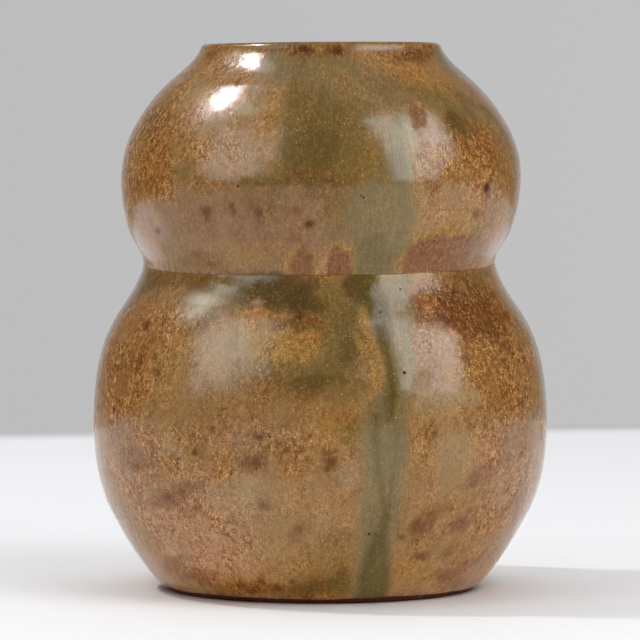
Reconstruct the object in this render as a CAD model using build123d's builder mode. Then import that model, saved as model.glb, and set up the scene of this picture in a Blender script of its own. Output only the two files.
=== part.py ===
from build123d import *
import os

# Stoneware gourd vase, thrown in two sections and luted together at the waist,
# glazed outside and inside. Millimetres, +Z up, origin at the centre of the foot.
# All profiles below are (radius, height) pairs.

# ---- driving dimensions -------------------------------------------------
height = 170.0            # table to the top of the glazed lip
outer_coat = 0.7          # thickness of the outer glaze
liner_coat = 0.4          # thickness of the glaze inside
wall_lower = 5.6          # clay wall of the lower section
wall_upper = 4.6          # clay wall of the upper section
floor_top = 7.4           # top of the clay floor inside
recess_depth = 2.6        # hollow turned under the foot
foot_r_out = 47.6         # outer radius of the standing ring
foot_r_in = 40.6          # inner radius of the standing ring
waist_z = 99.9            # height of the crease between the two bulbs
slip_gap = 0.5            # thickness of the slip in the joint
tongue_r_in = 50.4        # raised key on the lower section's edge
tongue_r_out = 52.2
tongue_height = 1.4
mouth_r = 33.2            # clear radius of the glazed mouth
mouth_top = 168.2         # where the mouth's wall meets the rounded lip
mouth_bottom = 163.6      # where the mouth's wall turns into the shoulder
lip_r_out = 37.55         # outer radius under the rounded lip

# outer glazed surface, from just above the foot to the crease
belly_outer = [
    (49.75, 1.5), (52.0, 3.7), (54.9, 7.4), (58.8, 13.0), (62.9, 20.0),
    (66.9, 28.0), (69.3, 36.4), (70.55, 45.0), (70.8, 53.0), (70.35, 62.0),
    (69.1, 70.5), (66.9, 78.2), (63.6, 84.8), (60.0, 90.1), (57.2, 94.3),
    (55.5, 97.7), (54.95, 99.9),
]
# outer glazed surface, from the crease to the lip
bulb_outer = [
    (54.95, 99.9), (55.6, 103.2), (57.4, 106.8), (59.4, 110.9), (60.9, 116.0),
    (61.9, 121.5), (62.35, 128.0), (61.7, 134.4), (59.9, 140.2), (57.0, 145.8),
    (53.2, 151.4), (48.7, 156.6), (44.0, 160.9), (40.6, 164.1), (38.5, 166.7),
    (37.55, 168.4),
]


def inset(points, distance):
    """Move each point inwards, square to the line through its neighbours."""
    moved = []
    for i, (r, z) in enumerate(points):
        r0, z0 = points[max(i - 1, 0)]
        r1, z1 = points[min(i + 1, len(points) - 1)]
        length = ((r1 - r0) ** 2 + (z1 - z0) ** 2) ** 0.5
        moved.append((r - distance * (z1 - z0) / length, z + distance * (r1 - r0) / length))
    return moved


joint_low = waist_z - slip_gap / 2
joint_high = waist_z + slip_gap / 2
joint_r_out = 54.2
joint_r_in = 49.0
clay_lip_r = lip_r_out - outer_coat
clay_mouth_r = mouth_r + outer_coat
clay_top = height - outer_coat

# clay under the outer glaze
belly_clay = [(48.95, 1.85)] + inset(belly_outer, outer_coat)[1:-1] + [(joint_r_out, joint_low)]
bulb_clay = [(joint_r_out, joint_high)] + inset(bulb_outer, outer_coat)[1:-1] + [(clay_lip_r, 168.0)]

# clay surface inside
belly_inside = (
    [(30.0, floor_top), (41.0, 8.3), (48.4, 11.6)]
    + inset(belly_outer, outer_coat + wall_lower)[4:-3]
    + [(50.3, 95.4), (joint_r_in, joint_low)]
)
bulb_inside = (
    [(joint_r_in, joint_high), (50.4, 104.4)]
    + inset(bulb_outer, outer_coat + wall_upper)[3:-4]
    + [(40.8, 156.6), (37.3, 159.7), (34.8, 161.8), (clay_mouth_r, mouth_bottom)]
)
# glazed surface inside
belly_lined = (
    [(30.0, floor_top + liner_coat)]
    + inset(belly_inside, liner_coat)[1:-1]
    + [(joint_r_in - liner_coat, joint_low)]
)
bulb_lined = (
    [(joint_r_in - liner_coat, joint_high)]
    + inset(bulb_inside, liner_coat)[1:-1]
    + [(clay_mouth_r - liner_coat, mouth_bottom)]
)

os.makedirs("parts", exist_ok=True)

# ---- lower section: floor, turned foot and belly, up to the keyed edge ---
with BuildPart() as lower_section:
    with BuildSketch(Plane.XZ):
        with BuildLine():
            Polyline(
                (0, floor_top), (0, recess_depth + 0.2), (foot_r_in - 2.2, recess_depth),
                (foot_r_in - 1.2, recess_depth - 0.5), (foot_r_in - 0.2, 0.5), (foot_r_in + 0.3, 0),
                (foot_r_out - 0.5, 0), (foot_r_out, 0.3), (48.6, 1.4), belly_clay[0],
            )
            Spline(*belly_clay)
            Polyline(
                (joint_r_out, joint_low), (tongue_r_out, joint_low),
                (tongue_r_out, joint_low + tongue_height), (tongue_r_in, joint_low + tongue_height),
                (tongue_r_in, joint_low), (joint_r_in, joint_low),
            )
            Spline(*belly_inside, tangents=[(1, 0), (-0.28, 1)])
            Line((30.0, floor_top), (0, floor_top))
        make_face()
    revolve(axis=Axis.Z)
lower_section.part.label = "lower_section"

# ---- upper section: from the grooved edge over the shoulder to the lip ---
with BuildPart() as upper_section:
    with BuildSketch(Plane.XZ):
        with BuildLine():
            Polyline(
                (joint_r_in, joint_high), (tongue_r_in - slip_gap, joint_high),
                (tongue_r_in - slip_gap, joint_high + tongue_height),
                (tongue_r_out + slip_gap, joint_high + tongue_height),
                (tongue_r_out + slip_gap, joint_high), (joint_r_out, joint_high),
            )
            Spline(*bulb_clay)
            ThreePointArc((clay_lip_r, 168.0), ((clay_lip_r + clay_mouth_r) / 2, clay_top), (clay_mouth_r, 168.0))
            Line((clay_mouth_r, 168.0), (clay_mouth_r, mouth_bottom))
            Spline(*bulb_inside, tangents=[(0.28, 1), (0, 1)])
        make_face()
    revolve(axis=Axis.Z)
upper_section.part.label = "upper_section"

# ---- luting slip: fills the keyed joint between the two sections ---------
with BuildPart() as luting_slip:
    with BuildSketch(Plane.XZ):
        with BuildLine():
            Polyline(
                (joint_r_in, joint_low), (tongue_r_in, joint_low),
                (tongue_r_in, joint_low + tongue_height), (tongue_r_out, joint_low + tongue_height),
                (tongue_r_out, joint_low), (joint_r_out, joint_low), (joint_r_out, joint_high),
                (tongue_r_out + slip_gap, joint_high),
                (tongue_r_out + slip_gap, joint_high + tongue_height),
                (tongue_r_in - slip_gap, joint_high + tongue_height),
                (tongue_r_in - slip_gap, joint_high), (joint_r_in, joint_high), (joint_r_in, joint_low),
            )
        make_face()
    revolve(axis=Axis.Z)
luting_slip.part.label = "luting_slip"

# ---- outer glaze: one coat from the foot over the lip into the mouth -----
with BuildPart() as outer_glaze:
    with BuildSketch(Plane.XZ):
        with BuildLine():
            Spline(*belly_outer)
            Spline(*bulb_outer)
            ThreePointArc((lip_r_out, 168.4), ((lip_r_out + mouth_r) / 2, height), (mouth_r, mouth_top))
            Polyline((mouth_r, mouth_top), (mouth_r, mouth_bottom), (clay_mouth_r, mouth_bottom), (clay_mouth_r, 168.0))
            ThreePointArc((clay_lip_r, 168.0), ((clay_lip_r + clay_mouth_r) / 2, clay_top), (clay_mouth_r, 168.0))
            Spline(*bulb_clay)
            Line((joint_r_out, joint_low), (joint_r_out, joint_high))
            Spline(*belly_clay)
            Line(belly_clay[0], belly_outer[0])
        make_face()
    revolve(axis=Axis.Z)
outer_glaze.part.label = "outer_glaze"

# ---- liner glaze: one coat over the whole inside, up to the mouth --------
with BuildPart() as liner_glaze:
    with BuildSketch(Plane.XZ):
        with BuildLine():
            Polyline((0, floor_top), (0, floor_top + liner_coat), (30.0, floor_top + liner_coat))
            Spline(*belly_lined, tangents=[(1, 0), (-0.28, 1)])
            Line((joint_r_in - liner_coat, joint_low), (joint_r_in - liner_coat, joint_high))
            Spline(*bulb_lined, tangents=[(0.28, 1), (0, 1)])
            Line((clay_mouth_r - liner_coat, mouth_bottom), (clay_mouth_r, mouth_bottom))
            Spline(*bulb_inside, tangents=[(0.28, 1), (0, 1)])
            Line((joint_r_in, joint_low), (joint_r_in, joint_high))
            Spline(*belly_inside, tangents=[(1, 0), (-0.28, 1)])
            Line((30.0, floor_top), (0, floor_top))
        make_face()
    revolve(axis=Axis.Z)
liner_glaze.part.label = "liner_glaze"

for piece in (lower_section, upper_section, luting_slip, outer_glaze, liner_glaze):
    print(piece.part.label, round(piece.part.volume), piece.part.is_valid)

export_step(lower_section.part, "parts/lower_section.step")
export_step(upper_section.part, "parts/upper_section.step")
export_step(luting_slip.part, "parts/luting_slip.step")
export_step(outer_glaze.part, "parts/outer_glaze.step")
export_step(liner_glaze.part, "parts/liner_glaze.step")
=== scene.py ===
import math

import bmesh
import bpy
import numpy as np
from mathutils import Matrix, Vector


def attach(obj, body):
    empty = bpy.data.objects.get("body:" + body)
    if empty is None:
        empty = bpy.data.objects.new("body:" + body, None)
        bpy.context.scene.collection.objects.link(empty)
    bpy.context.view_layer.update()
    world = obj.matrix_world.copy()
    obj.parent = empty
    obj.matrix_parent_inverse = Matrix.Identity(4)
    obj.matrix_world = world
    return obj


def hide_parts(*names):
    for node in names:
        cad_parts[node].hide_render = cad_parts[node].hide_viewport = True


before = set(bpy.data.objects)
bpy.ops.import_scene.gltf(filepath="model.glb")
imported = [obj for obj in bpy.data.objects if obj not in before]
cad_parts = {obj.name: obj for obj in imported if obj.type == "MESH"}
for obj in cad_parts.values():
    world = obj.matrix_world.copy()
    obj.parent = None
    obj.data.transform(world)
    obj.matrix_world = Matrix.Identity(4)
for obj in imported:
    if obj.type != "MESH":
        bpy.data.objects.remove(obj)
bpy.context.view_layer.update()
MM = 0.001

# ------------------------------------------------------------------ sizes (mm)
HEIGHT = 170.0
WAIST_Z = 99.9
MOUTH_R = 33.2
MOUTH_BOTTOM = 163.6
LIP_R = 37.55
R_FLOW = 62.0           # radius of the cylinder on which the glaze's pattern is laid out

# camera, in mm, and the size of one pixel of the 640 px view at the pot's axis
CAM_DIST, CAM_H, LOOK_Z = 1500.0, 163.0, 83.4
SCALE = 0.3114

# (radius, height) of the glazed outside, foot to crease and crease to lip
BELLY = [
    (49.75, 1.5), (52.0, 3.7), (54.9, 7.4), (58.8, 13.0), (62.9, 20.0),
    (66.9, 28.0), (69.3, 36.4), (70.55, 45.0), (70.8, 53.0), (70.35, 62.0),
    (69.1, 70.5), (66.9, 78.2), (63.6, 84.8), (60.0, 90.1), (57.2, 94.3),
    (55.5, 97.7), (54.95, 99.9),
]
BULB = [
    (54.95, 99.9), (55.6, 103.2), (57.4, 106.8), (59.4, 110.9), (60.9, 116.0),
    (61.9, 121.5), (62.35, 128.0), (61.7, 134.4), (59.9, 140.2), (57.0, 145.8),
    (53.2, 151.4), (48.7, 156.6), (44.0, 160.9), (40.6, 164.1), (38.5, 166.7),
    (37.55, 168.4),
]
# the lined inside, floor centre to mouth
INSIDE = [
    (0.0, 7.85), (15.0, 7.82), (30.0, 7.85), (41.0, 8.9), (47.4, 12.0), (51.9, 16.5),
    (55.3, 21.3), (59.4, 30.0), (62.2, 39.0), (63.8, 48.0), (64.1, 56.0), (63.4, 65.0),
    (61.6, 73.0), (58.6, 80.0), (55.2, 85.5), (52.2, 90.6), (50.0, 95.0), (48.6, 99.9),
    (50.1, 104.9), (52.4, 109.8), (54.6, 115.5), (56.1, 122.0), (56.8, 128.0),
    (56.2, 133.9), (54.4, 139.2), (51.3, 144.3), (47.8, 149.2), (43.5, 153.8),
    (40.5, 156.3), (37.0, 159.3), (34.5, 161.6), (33.5, 163.6),
]


# ------------------------------------------------------------------ curves
def curve(points, n):
    """Smooth curve through (r, z) points: n points evenly spaced along it (Catmull-Rom, centripetal)."""
    p = np.array(points, float)
    p = np.vstack([2 * p[0] - p[1], p, 2 * p[-1] - p[-2]])
    out = []
    for i in range(1, len(p) - 2):
        p0, p1, p2, p3 = p[i - 1], p[i], p[i + 1], p[i + 2]
        t0 = 0.0
        t1 = t0 + np.linalg.norm(p1 - p0) ** 0.5
        t2 = t1 + np.linalg.norm(p2 - p1) ** 0.5
        t3 = t2 + np.linalg.norm(p3 - p2) ** 0.5
        t = np.linspace(t1, t2, 60, endpoint=False)[:, None]
        a1 = (t1 - t) / (t1 - t0) * p0 + (t - t0) / (t1 - t0) * p1
        a2 = (t2 - t) / (t2 - t1) * p1 + (t - t1) / (t2 - t1) * p2
        a3 = (t3 - t) / (t3 - t2) * p2 + (t - t2) / (t3 - t2) * p3
        b1 = (t2 - t) / (t2 - t0) * a1 + (t - t0) / (t2 - t0) * a2
        b2 = (t3 - t) / (t3 - t1) * a2 + (t - t1) / (t3 - t1) * a3
        out.append((t2 - t) / (t2 - t1) * b1 + (t - t1) / (t2 - t1) * b2)
    out.append(p[-2][None])
    c = np.vstack(out)
    s = arc_length(c)
    u = np.linspace(0, s[-1], n)
    return np.stack([np.interp(u, s, c[:, 0]), np.interp(u, s, c[:, 1])], 1)


def arc_length(c):
    return np.concatenate([[0], np.cumsum(np.linalg.norm(np.diff(c, axis=0), axis=1))])


def smooth(x, lo, hi):
    t = np.clip((x - lo) / (hi - lo), 0, 1)
    return t * t * (3 - 2 * t)


class Profile:
    """A dense (r, z) path with its arc length and its normals, on the left of its direction of travel."""

    def __init__(self, *parts, smooth_normals=9):
        pts = np.vstack([np.asarray(p, float) for p in parts])
        keep = np.concatenate([[True], np.linalg.norm(np.diff(pts, axis=0), axis=1) > 1e-6])
        self.p = pts[keep]
        self.t = arc_length(self.p)
        d = np.gradient(self.p, self.t, axis=0)
        if smooth_normals:
            k = np.ones(smooth_normals) / smooth_normals
            pad = smooth_normals // 2
            d = np.stack([np.convolve(np.pad(d[:, i], pad, "edge"), k, "valid") for i in (0, 1)], 1)
        n = np.stack([d[:, 1], -d[:, 0]], 1)
        self.n = n / np.maximum(np.linalg.norm(n, axis=1), 1e-9)[:, None]

    def at(self, t):
        r, z = np.interp(t, self.t, self.p[:, 0]), np.interp(t, self.t, self.p[:, 1])
        nr, nz = np.interp(t, self.t, self.n[:, 0]), np.interp(t, self.t, self.n[:, 1])
        return r, z, nr, nz


def dense(points, step=0.05):
    """A straight-sided path resampled finely."""
    p = np.asarray(points, float)
    s = arc_length(p)
    u = np.linspace(0, s[-1], max(2, int(s[-1] / step) + 1))
    return np.stack([np.interp(u, s, p[:, 0]), np.interp(u, s, p[:, 1])], 1)


OUTER = np.vstack([curve(BELLY, 2200), curve(BULB, 1700)[1:]])
OUTER_S = arc_length(OUTER)
WAIST_S = float(np.interp(WAIST_Z, OUTER[:, 1], OUTER_S))


def r_outer(z):
    return np.interp(z, OUTER[:, 1], OUTER[:, 0])


def s_outer(z):
    return np.interp(z, OUTER[:, 1], OUTER_S)


# ------------------------------------------------------------------ smooth seeded noise
def lattice_noise(seed, p):
    """Smooth value noise in -1..1 at 3-D points p (n, 3)."""
    rng = np.random.RandomState(seed)
    table = rng.uniform(-1, 1, 4096)
    i = np.floor(p).astype(np.int64)
    f = p - i
    f = f * f * f * (f * (f * 6 - 15) + 10)
    out = 0
    for dx in (0, 1):
        for dy in (0, 1):
            for dz in (0, 1):
                h = ((i[:, 0] + dx) * 73856093) ^ ((i[:, 1] + dy) * 19349663) ^ ((i[:, 2] + dz) * 83492791)
                w = (
                    (f[:, 0] if dx else 1 - f[:, 0])
                    * (f[:, 1] if dy else 1 - f[:, 1])
                    * (f[:, 2] if dz else 1 - f[:, 2])
                )
                out = out + w * table[h & 4095]
    return out


def fractal(seed, p, octaves=4, gain=0.5):
    total, amp, norm = 0, 1.0, 0.0
    for k in range(octaves):
        total = total + amp * lattice_noise(seed + 17 * k, p * 2.0 ** k + 11.3 * k)
        norm += amp
        amp *= gain
    return total / norm


# ------------------------------------------------------------------ the camera's view of the pot
def camera_axes():
    c = np.array([0.0, -CAM_DIST, CAM_H])
    f = np.array([0.0, 0.0, LOOK_Z]) - c
    length = np.linalg.norm(f)
    f /= length
    right = np.array([1.0, 0, 0])
    up = np.cross(right, f)
    return c, f, right, up, length / SCALE


CAM, FWD, RIGHT, UP, FOCAL = camera_axes()


def place(x, y):
    """The point of the pot that shows at pixel (x, y) of the 640 px view: (azimuth from the front, arc length from the foot,
    mm across and mm up the surface for one pixel)."""
    ray = FWD + RIGHT * (x - 320.0) / FOCAL + UP * (320.0 - y) / FOCAL
    z = HEIGHT - (y - 42.0) * SCALE
    px = 0.0
    for _ in range(30):
        r = float(r_outer(z))
        t = (CAM_DIST - math.sqrt(max(r * r - px * px, (0.12 * r) ** 2))) / ray[1]
        px = float(np.clip(ray[0] * t, -0.985 * r, 0.985 * r))
        z = 0.5 * z + 0.5 * float(np.clip(CAM_H + ray[2] * t, 1.6, HEIGHT - 1.0))
    r = float(r_outer(z))
    phi = math.asin(px / r)
    s = float(s_outer(z))
    a, b = s_outer(z - 0.5), s_outer(z + 0.5)
    up = max((b - a), 1.0)
    lean = 1.0 / up
    return phi, s, SCALE / max(math.cos(phi), 0.30), SCALE / max(lean, 0.38)


# ------------------------------------------------------------------ glaze: colours as they look under the soft light
def look(r, g, b):
    """Linear value of an sRGB colour."""
    c = np.array([r, g, b]) / 255.0
    return np.where(c <= 0.04045, c / 12.92, ((c + 0.055) / 1.055) ** 2.4)


# how bright a white matt surface is on the pot, by height
LIT = np.array([
    (0.0, 0.50), (5.4, 0.52), (10.7, 0.60), (15.8, 0.66), (20.9, 0.70), (28.4, 0.73), (38.2, 0.76), (50.3, 0.79), (62.2, 0.81),
    (71.7, 0.85), (78.8, 0.89), (83.4, 0.90), (88.1, 0.885), (92.8, 0.85), (97.0, 0.80), (100.5, 0.66), (107.2, 0.685), (112.1, 0.73),
    (119.3, 0.765), (126.5, 0.80), (131.3, 0.825), (138.5, 0.90), (145.6, 0.965), (152.8, 1.02), (160.0, 1.065), (167.2, 0.98), (170.0, 0.95),
])
VEIL_TABLE = 0.026      # what the gloss adds where it mirrors the pale table
VEIL_ROOM = 0.005       # and where it mirrors the room
VEIL = 0.015            # between the two


DENSITY = 0.90          # what the crystals add to the average, taken off again


def lit(s):
    return 0.93 * np.interp(np.interp(s, OUTER_S, OUTER[:, 1]), LIT[:, 0], LIT[:, 1])


def under_gloss(colour, light=0.76, veil=VEIL):
    """Surface colour of a glaze that looks like this linear colour under its own gloss."""
    return np.maximum((colour - veil) / light, 0.004)


# kind: colour, grain (crystals and rust gaps), fleck (sparse yellow specks), streak
KINDS = {
    "tan": (look(149, 114, 75), 0.28, 0.45, 0.40),
    "tan_smooth": (look(155, 123, 84), 0.08, 0.20, 0.25),
    "pale": (look(162, 134, 98), 0.12, 0.30, 0.30),
    "mottle": (look(149, 106, 57), 0.75, 0.15, 0.10),
    "rust": (look(137, 90, 40), 0.90, 0.05, 0.10),
    "rose": (look(158, 119, 88), 0.66, 0.10, 0.25),
    "rust_dark": (look(104, 61, 26), 0.70, 0.0, 0.10),
    "gold": (look(153, 116, 59), 0.46, 0.60, 0.10),
    "amber": (look(160, 110, 54), 0.40, 0.40, 0.10),
    "olive": (look(120, 95, 51), 0.18, 0.80, 0.60),
    "olive_dark": (look(86, 67, 33), 0.12, 0.75, 0.50),
    "brown": (look(108, 76, 38), 0.35, 0.40, 0.25),
    "green": (look(122, 107, 74), 0.05, 0.45, 0.80),
    "green_pale": (look(146, 133, 100), 0.04, 0.35, 0.80),
    "celadon": (look(168, 154, 118), 0.06, 0.35, 0.60),
    "green_dark": (look(88, 77, 43), 0.08, 0.50, 0.45),
    "pink": (look(139, 106, 77), 0.14, 0.30, 0.40),
    "maroon": (look(122, 82, 54), 0.26, 0.25, 0.75),
    "lilac": (look(160, 130, 112), 0.08, 0.15, 0.50),
    "iron": (look(80, 42, 22), 0.10, 0.0, 0.0),
}

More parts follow.
